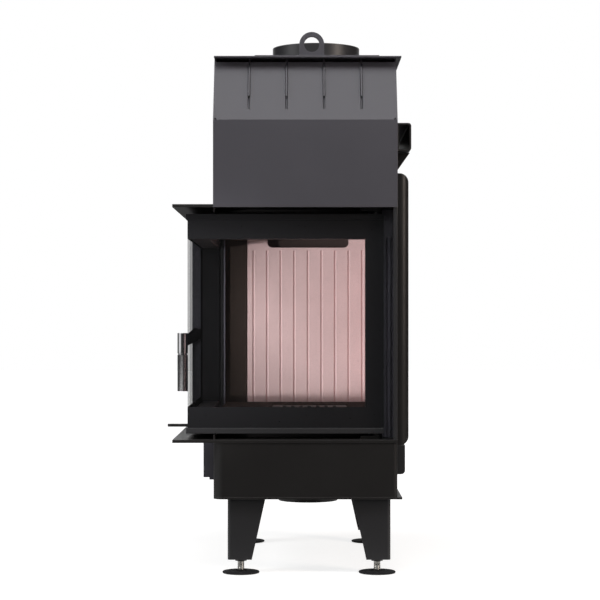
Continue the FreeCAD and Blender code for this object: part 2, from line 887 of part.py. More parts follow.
def door_gasket():
    """Rope seal on the back of the door frame, as straight runs."""
    thick = seal_gap - soft_gap
    y = (frame_inner_y, frame_inner_y + thick)
    x = (frame_inner_x, frame_inner_x + thick)
    low = (frame_bottom + gasket_width / 2, frame_bottom + gasket_width * 3 / 2)
    high = (frame_top - gasket_width * 3 / 2, frame_top - gasket_width / 2)
    hinge_x = (hinge_stile_left + gasket_inset, hinge_stile_left + gasket_inset + gasket_width)
    rear_y = (rear_stile_front + tube_wall, rear_stile_front + tube_wall + gasket_width)
    runs = []
    for z in (low, high):
        runs.append(box((frame_inner_x, hinge_x[0]), y, z))
        runs.append(box(x, (y[1], rear_y[0]), z))
    runs.append(box(hinge_x, y, (low[0], high[1])))
    runs.append(box(x, rear_y, (low[0], high[1])))
    return runs


# Hinges

def hinge_bracket():
    """Lower hinge plate with its pin; its end is round where the pin stands."""
    z = (sill_flange_top, sill_flange_top + hinge_plate_thick)
    x = (pivot_x - hinge_plate_length, pivot_x)
    plate = box(x, (pivot_y - hinge_plate_radius, pivot_y + hinge_plate_radius), z)
    plate = merged(plate, rod("z", z, pivot_x, pivot_y, hinge_plate_radius))
    return merged(plate, rod("z", (z[1], z[1] + pin_length), pivot_x, pivot_y, pin_radius))


def hinge_plug():
    """Lower end plug of the hinge tube: a bored block with a collar that runs on the hinge plate."""
    collar = (sill_flange_top + hinge_plate_thick + soft_gap, frame_bottom)
    body = (frame_bottom, frame_bottom + plug_length)
    fit = tube_wall + plug_fit
    block = box((hinge_stile_left + fit, door_right - fit), (frame_front + fit, frame_inner_y - fit), body)
    plug = merged(block, rod("z", collar, pivot_x, pivot_y, plug_collar_radius))
    return plug.cut(rod("z", (collar[0], body[1]), pivot_x, pivot_y, pin_radius + running_gap))


def upper_hinge_bracket():
    """Upper hinge plate, hung from the top flange, with its pin downwards."""
    return mirrored(hinge_bracket(), "z", (sill_flange_top + head_flange_bottom) / 2)


def upper_hinge_plug():
    """Upper end plug, whose collar reaches up to the upper hinge plate."""
    collar = (frame_top, head_flange_bottom - hinge_plate_thick - soft_gap)
    body = (frame_top - plug_length, frame_top)
    fit = tube_wall + plug_fit
    block = box((hinge_stile_left + fit, door_right - fit), (frame_front + fit, frame_inner_y - fit), body)
    plug = merged(block, rod("z", collar, pivot_x, pivot_y, plug_collar_radius))
    return plug.cut(rod("z", (body[0], collar[1]), pivot_x, pivot_y, pin_radius + running_gap))


# Handle and latch

def handle_grip():
    """Round upright grip."""
    top = handle_z + grip_top_rise
    return rod("z", (top - grip_length, top), grip_x, handle_y, grip_radius)


def handle_neck():
    """Cranked arm from the spindle hub down and out to the grip."""
    hub_inner = glass_left - soft_gap
    hub = rod("x", (hub_inner - hub_length, hub_inner), handle_y, handle_z, hub_radius)
    y = (handle_y - neck_width / 2, handle_y + neck_width / 2)
    low = handle_z - neck_drop
    shoulder = hub_inner - hub_length
    root = hub_inner - hub_length / 2
    outline = [
        (grip_x, low), (grip_x, low + neck_height), (shoulder, handle_z + neck_root),
        (root, handle_z + neck_root), (root, handle_z - neck_root)]
    arm = rounded(prism("y", y, outline), neck_round, "y", lambda m: near(m.x, shoulder))
    return merged(hub, arm).cut(rod("z", (low, handle_z + neck_root), grip_x, handle_y, grip_radius))


def latch_spindle():
    """Spindle through the stile with the latch tongue on its inner end, pointing to the rear."""
    tongue_inner = left - keeper_thick - soft_gap
    shaft = rod("x", (glass_left - soft_gap, tongue_inner), handle_y, handle_z, spindle_radius)
    x = (tongue_inner - tongue_thick, tongue_inner)
    z = (handle_z - tongue_width / 2, handle_z + tongue_width / 2)
    return merged(shaft, box(x, (handle_y, handle_y + tongue_length), z))


def latch_keeper():
    """Bevelled striker plate on the left jamb, which the latch tongue bears on."""
    x = (left - keeper_thick, left)
    y = (handle_y + spindle_radius, firebox_depth)
    z = (handle_z - keeper_height / 2, handle_z + keeper_height / 2)
    plate = box(x, y, z)
    return plate.makeChamfer(keeper_bevel, edges_along(plate, "y", lambda m: near(m.x, x[0])))


# Air control

def air_lever():
    """Flat round-nosed lever under the side glass, with a block to run on and a peg to the shutter."""
    z = (lever_bottom, lever_bottom + lever_thick)
    y = (lever_y - lever_width / 2, lever_y + lever_width / 2)
    bar = box((lever_tip, peg_x + lever_width / 2), y, z)
    bar = rounded(bar, lever_width / 2 - soft_gap, "z", lambda m: near(m.x, lever_tip))
    boss_x = (peg_x - lever_boss_width / 2, peg_x + lever_boss_width / 2)
    boss = box(boss_x, y, (z[0] - lever_boss, z[0]))
    peg = rod("z", (sill_flange_bottom - shutter_drop, z[0]), peg_x, lever_y, peg_radius)
    return merged(bar, boss, peg)


def air_shutter():
    """Sliding plate in the air box, hung on the lever's peg."""
    top = sill_flange_bottom - shutter_drop
    x = (peg_x - shutter_width / 2, peg_x + shutter_width / 2)
    y = (lever_y - shutter_length / 2, lever_y + shutter_length / 2)
    return box(x, y, (top - shutter_thick, top))


# All pieces, by name

pieces = {
    "base_plate": [base_plate()],
    "base_box": [base_box()],
    "air_inlet_collar": [air_inlet_collar()],
    "foot_lock_nuts": [lock_nut(x, y) for x, y in foot_places().values()],
    "air_box_left": [air_box()],
    "air_duct_right": [right_air_duct()],
    "bottom_flange": [bottom_flange()],
    "top_flange": [top_flange()],
    "firebox_back": [firebox_back()],
    "right_wall": [right_wall()],
    "right_jamb": [right_jamb()],
    "left_jamb": [left_jamb()],
    "sill_strips": seal_strips(sill_flange_top, sill_height, tongue_height),
    "lintel_strips": seal_strips(head_flange_bottom, -lintel_height, -tongue_height),
    "back_lining": [back_lining()],
    "right_lining": [right_lining()],
    "left_lining": [left_lining()],
    "hearth_bricks": hearth_bricks(),
    "grate": [grate()],
    "ash_pan": [ash_pan()],
    "smoke_baffle": [smoke_baffle()],
    "hood_front": [hood_front()],
    "hood_left": [hood_side(left)],
    "hood_right": [hood_side(right - sheet)],
    "hood_back": [hood_back()],
    "hood_fins": hood_fins(),
    "top_plate": [top_plate()],
    "flue_plate": [flue_plate()],
    "flue_collar": [flue_collar()],
    "lifting_eye": [lifting_eye()],
    "side_cover": [side_cover()],
    "rear_cover": [rear_cover()],
    "side_bracket": side_bracket(),
    "hinge_brackets": [hinge_bracket(), upper_hinge_bracket()],
    "latch_keeper": [latch_keeper()],
    "door_front_top_rail": [front_rail((frame_top - top_rail_height, frame_top))],
    "door_front_bottom_rail": [front_rail((frame_bottom, frame_bottom + bottom_rail_height))],
    "door_side_top_rail": [side_rail((frame_top - top_rail_height, frame_top))],
    "door_side_bottom_rail": [side_rail((frame_bottom, frame_bottom + bottom_rail_height))],
    "door_hinge_stile": [hinge_stile()],
    "door_rear_stile": [rear_stile()],
    "front_glass": [front_glass()],
    "side_glass": [side_glass()],
    "glass_strips_bottom": glass_strips(door_bottom, 1),
    "glass_strips_top": glass_strips(door_top, -1),
    "door_gasket": door_gasket(),
    "hinge_plugs": [hinge_plug(), upper_hinge_plug()],
    "handle_grip": [handle_grip()],
    "handle_neck": [handle_neck()],
    "latch_spindle": [latch_spindle()],
    "air_lever": [air_lever()],
    "air_shutter": [air_shutter()],
}
for place, solid in all_legs().items():
    pieces["leg_" + place] = [solid]
for place, (x, y) in foot_places().items():
    pieces["levelling_foot_" + place] = [levelling_foot(x, y)]

# The origin goes under the middle of the whole part, on the floor
to_origin = Vector(-(lever_tip + right + bracket_proud) / 2, -body_depth / 2, 0)

os.makedirs("parts", exist_ok=True)
for name, solids in pieces.items():
    shape = solids[0] if len(solids) == 1 else Part.makeCompound(solids)
    shape.translate(to_origin)
    shape.exportStep("parts/" + name + ".step")
print(len(pieces), "pieces")
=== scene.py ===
"""Looks of a corner fireplace insert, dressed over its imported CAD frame."""

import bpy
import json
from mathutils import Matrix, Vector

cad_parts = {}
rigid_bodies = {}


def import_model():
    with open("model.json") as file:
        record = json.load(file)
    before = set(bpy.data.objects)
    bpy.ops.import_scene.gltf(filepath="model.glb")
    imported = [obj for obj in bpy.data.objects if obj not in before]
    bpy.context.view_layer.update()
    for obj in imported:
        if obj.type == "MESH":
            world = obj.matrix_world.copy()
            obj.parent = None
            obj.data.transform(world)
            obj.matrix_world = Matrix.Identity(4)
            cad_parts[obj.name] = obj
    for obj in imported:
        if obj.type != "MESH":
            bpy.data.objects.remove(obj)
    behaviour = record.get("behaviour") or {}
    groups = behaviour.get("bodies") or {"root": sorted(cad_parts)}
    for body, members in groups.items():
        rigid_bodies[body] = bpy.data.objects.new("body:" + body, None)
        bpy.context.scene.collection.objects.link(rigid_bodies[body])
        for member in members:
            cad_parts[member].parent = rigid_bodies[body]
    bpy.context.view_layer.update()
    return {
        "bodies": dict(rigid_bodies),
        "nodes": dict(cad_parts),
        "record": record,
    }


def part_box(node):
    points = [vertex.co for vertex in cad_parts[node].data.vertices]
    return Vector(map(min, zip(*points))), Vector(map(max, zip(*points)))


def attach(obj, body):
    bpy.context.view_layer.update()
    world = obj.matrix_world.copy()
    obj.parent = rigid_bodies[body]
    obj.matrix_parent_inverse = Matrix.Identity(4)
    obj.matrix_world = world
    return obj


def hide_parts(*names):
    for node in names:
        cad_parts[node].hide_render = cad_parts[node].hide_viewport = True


bl_info = {
    "name": "Corner fireplace insert",
    "version": (1, 0, 0),
    "blender": (4, 5, 0),
    "location": "View3D > Sidebar > Insert",
    "description": "Finishes, grip, feet, rope seal, fixings and studio of a corner fireplace insert",
    "category": "Object",
}

import json
import math

import bmesh
import bpy
from bpy.props import FloatProperty, FloatVectorProperty, IntProperty, PointerProperty
from mathutils import Vector

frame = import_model()
MM = 0.001
TURN = 2 * math.pi


def linear(colour):
    """sRGB hex value as linear red, green and blue."""
    shares = [int(colour[i:i + 2], 16) / 255 for i in (1, 3, 5)]
    return [s / 12.92 if s <= 0.04045 else ((s + 0.055) / 1.055) ** 2.4 for s in shares]


def shade(colour, factor):
    """A colour made lighter or darker, with alpha, for a socket."""
    return [min(1.0, part * factor) for part in colour] + [1.0]


def colour_property(label, about, colour):
    """Colour setting whose default is an sRGB hex value."""
    return FloatVectorProperty(
        name=label, description=about, subtype="COLOR", size=3, min=0.0, max=1.0, default=linear(colour))


def length_property(label, about, millimetres):
    """Length setting in metres."""
    return FloatProperty(
        name=label, description=about, subtype="DISTANCE", unit="LENGTH", min=0.0, default=millimetres * MM)


def power_property(label, about, watts):
    """Power setting of a lamp."""
    return FloatProperty(name=label, description=about, subtype="POWER", min=0.0, default=watts)


# Settings that a user would change

class InsertFinishes(bpy.types.PropertyGroup):
    """Colours of the insert's finishes."""
    hood: colour_property("Hood grey", "Grey stove paint of the hood", "#45444a")
    # Paler than the hood grey: painted light on the recessed jambs and back panel
    jamb_grey_with_painted_light: colour_property("Jamb grey", "Grey of the jambs and the back panel, made paler as painted light", "#62616a")
    # Brown-black on the back panel inside the seal: soot and painted shade
    soot_and_shade: colour_property("Soot", "Soot and painted shade on the back panel inside the firebox", "#403634")
    casing: colour_property("Casing black", "Black stove paint of the casing", "#201f1f")
    door: colour_property("Door black", "Matt black paint of the door frame", "#19191b")
    strip: colour_property("Dark grey", "Paint of legs, right wall, collar and lower strips", "#2b2b2d")
    lining: colour_property("Lining", "Fireclay of the back and right linings", "#e1c3c2")
    dark_lining: colour_property("Dark lining", "Sooted fireclay of the left lining", "#3a322e")
    # Darker than the other sooted fireclay: painted shade on the hearth
    hearth: colour_property("Hearth", "Sooted fireclay of the hearth, darkened as painted shade", "#241c18")
    glass: colour_property("Glass tint", "Faint tint of the ceramic glass", "#f9f9f9")
    enamel: colour_property("Enamel", "Black enamel fired on the borders of the panes", "#1f1f21")
    iron: colour_property("Cast iron", "Raw iron of the grate", "#2b2928")
    zinc: colour_property("Zinc", "Zinc plating of the rods", "#c9c7c2")
    chrome: colour_property("Chrome", "Chrome of the grip", "#dcdcde")
    steel: colour_property("Plain steel", "Drawn steel of latch and pan", "#77777a")
    screws: colour_property("Screw black", "Black oxide of the screws", "#2c2b2b")
    rubber: colour_property("Rubber", "Soles of the foot pads", "#1d1d1e")
    nylon: colour_property("Nylon", "Caps of the foot pads", "#1a1a1c")
    rope: colour_property("Rope", "Glass rope of the door seal", "#2f2f31")


class InsertGrip(bpy.types.PropertyGroup):
    """Sizes of the door grip."""
    end_round: length_property("End rounding", "Rounding of the grip's ends", 0.8)
    groove: length_property("Groove", "Depth of the turned groove above the knurl", 0.8)
    smooth_share: FloatProperty(
        name="Smooth share", description="Share of the grip, from the top, that is smooth",
        subtype="FACTOR", min=0.1, max=0.9, default=0.36)
    knurl_depth: length_property("Knurl depth", "Height of the knurl's points", 0.16)
    knurl_columns: IntProperty(
        name="Knurl columns", description="Points of the knurl round the grip", min=8, max=120, default=34)


class InsertPanes(bpy.types.PropertyGroup):
    """Sizes of the enamel on the panes."""
    film: length_property("Film", "Thickness of the fired enamel", 0.15)
    lower_overlap: length_property("Lower overlap", "Rise of the lower border above its rail", 10.2)


class InsertFeet(bpy.types.PropertyGroup):
    """Sizes of the levelling feet."""
    pitch: length_property("Thread pitch", "Pitch of the rod's thread", 2.0)
    thread_depth: length_property("Thread depth", "Depth of the rod's thread", 1.0)
    sole: length_property("Sole", "Thickness of the pad's rubber sole", 1.6)
    dome: length_property("Dome", "Rise of the pad towards the rod", 3.5)


class InsertSeal(bpy.types.PropertyGroup):
    """Sizes of the rope seal."""
    corner: length_property("Corner radius", "Radius of the rope round a corner of the door", 12.0)
    lay: length_property("Lay", "Length of one turn of the rope's strands", 16.0)
    strands: IntProperty(name="Strands", description="Strands round the rope", min=4, max=24, default=8)


class InsertFixings(bpy.types.PropertyGroup):
    """Sizes of screws and welds."""
    head_radius: length_property("Head radius", "Radius of a screw's head", 4.2)
    head_height: length_property("Head height", "Height of a screw's head", 2.4)
    edge: length_property("Edge distance", "Distance of a screw from a panel's edge", 18.0)
    bead_radius: length_property("Weld radius", "Radius of a weld's ripples", 2.2)
    bead_pitch: length_property("Weld pitch", "Distance between a weld's ripples", 1.7)


class InsertStage(bpy.types.PropertyGroup):
    """Light of the studio."""
    floor: colour_property("Floor", "Pale floor", "#bcbcbc")
    ambient: FloatProperty(name="Ambient", description="Soft light from all sides", min=0.0, default=0.1)
    top_light: power_property("Top light", "Softbox over the front", 12.0)
    front_light: power_property("Front light", "Softbox behind the camera", 18.0)
    left_light: power_property("Left light", "Softbox high on the left", 60.0)
    right_light: power_property("Right light", "Softbox on the right", 44.0)
    firebox_light: power_property("Firebox light", "Snooted lamp into the firebox", 600.0)


# Helpers

def feed(node, inputs):
    """Set a node's inputs: a link where a socket or a node is given, and a value otherwise."""
    for name, given in inputs.items():
        if isinstance(given, bpy.types.Node):
            given = next(socket for socket in given.outputs if socket.enabled)
        if isinstance(given, bpy.types.NodeSocket):
            node.id_data.links.new(given, node.inputs[name])
        else:
            node.inputs[name].default_value = given


def add(tree, kind, inputs=None, **settings):
    """Add a node to a tree, with settings on the node and values or links on its inputs."""
    node = tree.nodes.new(kind)
    for name, value in settings.items():
        setattr(node, name, value)
    feed(node, inputs or {})
    return node


def new_material(name):
    """A material, its node tree, its plain shader and the place of a point on the piece."""
    material = bpy.data.materials.new(name)
    material.use_nodes = True
    tree = material.node_tree
    return material, tree, tree.nodes["Principled BSDF"], add(tree, "ShaderNodeTexCoord").outputs["Object"]


def new_piece(name, mesh, body, slot, *replaced):
    """Put a mesh in the scene as a piece that rides on a body, and hide the CAD nodes that it replaces. The
    slot is not used.
    """
    piece = bpy.data.objects.new(name, mesh)
    bpy.context.scene.collection.objects.link(piece)
    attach(piece, body)
    if replaced:
        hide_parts(*replaced)


def finish_nodes(material, *names):
    """Give CAD nodes a better material."""
    for name in names:
        for slot in frame["nodes"][name].material_slots:
            slot.material = material


def slot_nodes(slot):
    """CAD nodes of one of the record's material slots."""
    return [row["node"] for row in frame["record"]["subparts"] if row["material_slot"] == slot]


def mesh_of(name, points, faces=(), edges=(), smooth=True):
    """Mesh from points, faces and loose edges."""
    mesh = bpy.data.meshes.new(name)
    mesh.from_pydata([tuple(point) for point in points], edges, faces)
    mesh.polygons.foreach_set("use_smooth", [smooth] * len(mesh.polygons))
    mesh.update()
    return mesh


def loop_of(name, points):
    """Closed line of edges through points."""
    count = len(points)
    return mesh_of(name, points, edges=[(i, (i + 1) % count) for i in range(count)])


def lathe(name, centre, profile, segments, materials):
    """Turned mesh about an upright axis, from (radius, height, material) points from the bottom up."""
    steps = range(segments)
    rows = len(profile) - 1
    points = []
    for radius, height, _ in profile:
        for step in steps:
            angle = TURN * step / segments
            points.append((centre.x + radius * math.cos(angle), centre.y + radius * math.sin(angle), height))
    faces = []
    for low in range(0, rows * segments, segments):
        high = low + segments
        faces += [(low + i, low + (i + 1) % segments, high + (i + 1) % segments, high + i) for i in steps]
    faces += [tuple(reversed(steps)), tuple(range(rows * segments, len(points)))]
    mesh = mesh_of(name, points, faces)
    for material in materials:
        mesh.materials.append(material)
    indices = [index for _, _, index in profile[:-1] for _ in steps]
    mesh.polygons.foreach_set("material_index", indices + [profile[0][2], profile[-1][2]])
    mesh.set_sharp_from_angle(angle=math.radians(40))
    return mesh


def plate(name, outline, thickness, material):
    """Thin flat plate from an outline of points, thickened along a vector."""
    count = len(outline)
    points = outline + [point + thickness for point in outline]
    faces = [tuple(range(count)), tuple(reversed(range(count, 2 * count)))]
    faces += [(i, i + count, (i + 1) % count + count, (i + 1) % count) for i in range(count)]
    mesh = mesh_of(name, points, faces, smooth=False)
    shape = bmesh.new()
    shape.from_mesh(mesh)
    bmesh.ops.recalc_face_normals(shape, faces=shape.faces)
    shape.to_mesh(mesh)
    shape.free()
    mesh.materials.append(material)
    return mesh


def new_tree(name, **kinds):
    """Geometry node tree with a geometry input, named inputs of each kind and a geometry output."""
    tree = bpy.data.node_groups.new(name, "GeometryNodeTree")
    tree.is_modifier = True
    tree.interface.new_socket("Geometry", in_out="INPUT", socket_type="NodeSocketGeometry")
    for kind, labels in kinds.items():
        for label in labels:
            tree.interface.new_socket(label, in_out="INPUT", socket_type="NodeSocket" + kind)
    tree.interface.new_socket("Geometry", in_out="OUTPUT", socket_type="NodeSocketGeometry")
    return tree, add(tree, "NodeGroupInput").outputs


def close_tree(tree, geometry, material):
    """End a tree in real geometry with a material."""
    real = add(tree, "GeometryNodeRealizeInstances", {"Geometry": geometry})
    dressed = add(tree, "GeometryNodeSetMaterial", {"Geometry": real, "Material": material})
    add(tree, "NodeGroupOutput", {"Geometry": dressed})
    return tree


def grow(name, mesh, tree, values):
    """Plain mesh that a node tree makes of a mesh, with the tree's named inputs set."""
    carrier = bpy.data.objects.new(name, mesh)
    bpy.context.scene.collection.objects.link(carrier)
    shape = carrier.modifiers.new("shape", "NODES")
    shape.node_group = tree
    for item in tree.interface.items_tree:
        if item.item_type == "SOCKET" and item.in_out == "INPUT" and item.name in values:
            shape[item.identifier] = values[item.name]
    ready = carrier.evaluated_get(bpy.context.evaluated_depsgraph_get())
    grown = bpy.data.meshes.new_from_object(ready)
    carrier.modifiers.remove(shape)
    bpy.data.objects.remove(carrier)
    grown.name = name
    if not grown.polygons:
        raise RuntimeError(name + " came out empty")
    return grown


# Materials

def stove_paint(name, colour, roughness, lift, specular=0.5):
    """Heat-proof stove paint, sprayed on sheet steel and baked.

    It is matt, with a powdery grain and a slightly cloudy sheen, and lighter along its edges by the factor
    lift: edge wear and a painted highlight of the bends.
    The grain of about 0.5 mm would not show, so it is drawn 2.5 mm wide.
    """
    cloud_width = 110 * MM
    grain_width = 2.5 * MM
    edge_radius = 1.2 * MM
    wear_and_highlight_start, wear_and_highlight_full = 0.995, 0.88
    wear_and_highlight_share = 0.55
    sheen_spread = 0.05
    material, tree, shader, place = new_material(name)
    cloud = add(tree, "ShaderNodeTexNoise", {"Vector": place, "Scale": 1 / cloud_width, "Detail": 3.0})
    grain = add(tree, "ShaderNodeTexNoise", {"Vector": place, "Scale": 1 / grain_width, "Detail": 2.0})
    tone = add(tree, "ShaderNodeMix", {0: cloud, 6: shade(colour, 0.93), 7: shade(colour, 1.07)},
               data_type="RGBA")
    bent = add(tree, "ShaderNodeBevel", {"Radius": edge_radius}, samples=6)
    flat = add(tree, "ShaderNodeNewGeometry").outputs["Normal"]
    meet = add(tree, "ShaderNodeVectorMath", {0: bent, 1: flat}, operation="DOT_PRODUCT")
    # Near a bend the colour is lifted towards lift: partly wear, partly a painted highlight
    near = add(tree, "ShaderNodeMapRange", {"Value": meet, "From Min": wear_and_highlight_start, "From Max": wear_and_highlight_full})
    wear_and_highlight = add(tree, "ShaderNodeMath", {0: near, 1: wear_and_highlight_share}, operation="MULTIPLY")
    worn_and_highlit = add(tree, "ShaderNodeMix", {0: wear_and_highlight, 6: tone, 7: shade(colour, lift)}, data_type="RGBA")
    sheen = add(tree, "ShaderNodeMapRange", {
        "Value": cloud, "To Min": roughness - sheen_spread, "To Max": roughness + sheen_spread})
    bump = add(tree, "ShaderNodeBump", {
        "Height": grain, "Normal": bent, "Strength": 0.16, "Distance": 0.25 * MM})
    feed(shader, {"Base Color": worn_and_highlit, "Roughness": sheen, "Normal": bump, "Specular IOR Level": specular})
    return material


def sooted_and_shaded_paint(name, colour, soot_and_shade, roughness, lift):
    """Stove paint of the back panel: clean outside the door's seal, and brown-black inside it, as soot and
    painted shade.
    """
    fade_width = 20 * MM
    film_start = 0.4 * MM
    film_end = 1.2 * MM
    material = stove_paint(name, colour, roughness, lift)
    tree = material.node_tree
    shader = tree.nodes["Principled BSDF"]
    paint = shader.inputs["Base Color"].links[0].from_socket
    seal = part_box("door_rear_stile")[0].x
    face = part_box("firebox_back")[0].y
    place = add(tree, "ShaderNodeTexCoord").outputs["Object"]
    axes = add(tree, "ShaderNodeSeparateXYZ", {"Vector": place}).outputs
    # Inside the seal the front face turns brown-black: soot and painted shade of the recess behind the
    # linings
    inside = add(tree, "ShaderNodeMapRange", {
        "Value": axes["X"], "From Min": seal, "From Max": seal + fade_width})
    front = add(tree, "ShaderNodeMapRange", {
        "Value": axes["Y"], "From Min": face + film_end, "From Max": face + film_start})
    film = add(tree, "ShaderNodeMath", {0: inside, 1: front}, operation="MULTIPLY")
    sooted_and_shaded = add(tree, "ShaderNodeMix", {0: film, 6: paint, 7: shade(soot_and_shade, 1)}, data_type="RGBA")
    feed(shader, {"Base Color": sooted_and_shaded})
    return material


def fireclay(name, colour):
    """Pressed fireclay board: dull and chalky, with a 3 mm speckle of grit and faint heat colours."""
    grit_width = 3 * MM
    patch_width = 90 * MM
    grain_width = 1.6 * MM
    edge_radius = 1.5 * MM
    material, tree, shader, place = new_material(name)
    grit = add(tree, "ShaderNodeTexVoronoi", {"Vector": place, "Scale": 1 / grit_width})
    patch = add(tree, "ShaderNodeTexNoise", {"Vector": place, "Scale": 1 / patch_width, "Detail": 4.0})
    grain = add(tree, "ShaderNodeTexNoise", {"Vector": place, "Scale": 1 / grain_width, "Detail": 3.0})
    tone = add(tree, "ShaderNodeMix", {0: patch, 6: shade(colour, 0.86), 7: shade(colour, 1.1)},
               data_type="RGBA")
    speck = add(tree, "ShaderNodeMapRange", {
        "Value": grit.outputs["Distance"], "From Min": 0.55, "From Max": 0.95, "To Max": 0.35})
    dotted = add(tree, "ShaderNodeMix", {0: speck, 6: tone, 7: shade(colour, 0.72)}, data_type="RGBA")
    bent = add(tree, "ShaderNodeBevel", {"Radius": edge_radius}, samples=6)
    bump = add(tree, "ShaderNodeBump", {
        "Height": grain, "Normal": bent, "Strength": 0.4, "Distance": 0.6 * MM})
    feed(shader, {"Base Color": dotted, "Normal": bump, "Roughness": 0.95, "Specular IOR Level": 0.08})
    return material


def ceramic_glass(name, colour):
    """Flat ceramic stove glass, 4 mm: clear, with a thin even mirror and faint wiping marks in it.

    Seen edgeways, the longer way through the pane makes it grey.
    """
    wipe_width = 60 * MM
    mirror_share = 0.045
    material, tree, shader, place = new_material(name)
    tree.nodes.remove(shader)
    wipe = add(tree, "ShaderNodeTexNoise", {
        "Vector": place, "Scale": 1 / wipe_width, "Detail": 2.0, "Distortion": 1.2})
    gloss = add(tree, "ShaderNodeMapRange", {"Value": wipe, "To Min": 0.01, "To Max": 0.06})
    slant = add(tree, "ShaderNodeLayerWeight", {"Blend": 0.5}).outputs["Facing"]
    depth = add(tree, "ShaderNodeMapRange", {"Value": slant, "From Min": 0.7, "From Max": 0.95})
    tint = add(tree, "ShaderNodeMix", {0: depth, 6: shade(colour, 1), 7: shade(colour, 0.62)},
               data_type="RGBA")
    through = add(tree, "ShaderNodeBsdfTransparent", {"Color": tint})
    mirror = add(tree, "ShaderNodeBsdfGlossy", {"Roughness": gloss})
    both = add(tree, "ShaderNodeMixShader", {0: mirror_share, 1: through, 2: mirror})
    feed(tree.nodes["Material Output"], {"Surface": both})
    return material


def grained(name, colour, tones, width, detail, relief, depth, edge=0.0):
    """Material and its shader, with one grain in tone and relief, and soft edges if a radius is given."""
    material, tree, shader, place = new_material(name)
    grain = add(tree, "ShaderNodeTexNoise", {"Vector": place, "Scale": 1 / width, "Detail": detail})
    tone = add(tree, "ShaderNodeMix", {0: grain, 6: shade(colour, tones[0]), 7: shade(colour, tones[1])},
               data_type="RGBA")
    bump = add(tree, "ShaderNodeBump", {"Height": grain, "Strength": relief, "Distance": depth})
    if edge:
        feed(bump, {"Normal": add(tree, "ShaderNodeBevel", {"Radius": edge}, samples=6)})
    feed(shader, {"Base Color": tone, "Normal": bump})
    return material, shader


def fired_enamel(name, colour):
    """Ceramic enamel printed and fired on glass: deep black and glossy, with a faint 6 mm orange peel."""
    material, shader = grained(name, colour, (0.96, 1.04), 6 * MM, detail=1.0, relief=0.04, depth=0.1 * MM)
    feed(shader, {"Roughness": 0.12})
    return material


def sand_cast(name, colour):
    """Raw sand-cast iron: dark, dull and pitted like 1.5 mm sand."""
    material, shader = grained(
        name, colour, (0.7, 1.3), 1.5 * MM, detail=4.0, relief=0.5, depth=0.5 * MM, edge=1.0 * MM)
    feed(shader, {"Roughness": 0.75})
    return material


def glass_yarn(name, colour):
    """Braided glass-fibre yarn: dull and fuzzy, each strand flecked with 0.8 mm filaments."""
    material, shader = grained(name, colour, (0.6, 1.5), 0.8 * MM, detail=2.0, relief=0.5, depth=0.3 * MM)
    feed(shader, {"Roughness": 0.9, "Sheen Weight": 0.15})
    return material


def moulded_pad(name, colour):
    """Moulded rubber or nylon of the foot pads: black, dull, with a fine 1 mm texture."""
    material, shader = grained(name, colour, (0.8, 1.2), 1.0 * MM, detail=1.0, relief=0.2, depth=0.2 * MM)
    feed(shader, {"Roughness": 0.7, "Specular IOR Level": 0.2})
    return material


def worked_metal(name, colour, roughness, streak, edge=0.0):
    """Bare or plated metal: bright, with fine lines along the streak, a little tarnish and blunt edges."""
    line_width = 1.5 * MM
    tarnish_width = 25 * MM
    material, tree, shader, place = new_material(name)
    along = add(tree, "ShaderNodeMapping", {"Vector": place, "Scale": streak})
    lines = add(tree, "ShaderNodeTexNoise", {"Vector": along, "Scale": 1 / line_width, "Detail": 2.0})
    dull = add(tree, "ShaderNodeTexNoise", {"Vector": place, "Scale": 1 / tarnish_width, "Detail": 3.0})
    tone = add(tree, "ShaderNodeMix", {0: dull, 6: shade(colour, 0.85), 7: shade(colour, 1.05)},
               data_type="RGBA")
    gloss = add(tree, "ShaderNodeMapRange", {
        "Value": lines, "To Min": roughness * 0.7, "To Max": roughness * 1.3})
    bump = add(tree, "ShaderNodeBump", {"Height": lines, "Strength": 0.08, "Distance": 0.1 * MM})
    if edge:
        feed(bump, {"Normal": add(tree, "ShaderNodeBevel", {"Radius": edge}, samples=6)})
    feed(shader, {"Base Color": tone, "Roughness": gloss, "Normal": bump, "Metallic": 1.0})
    return material


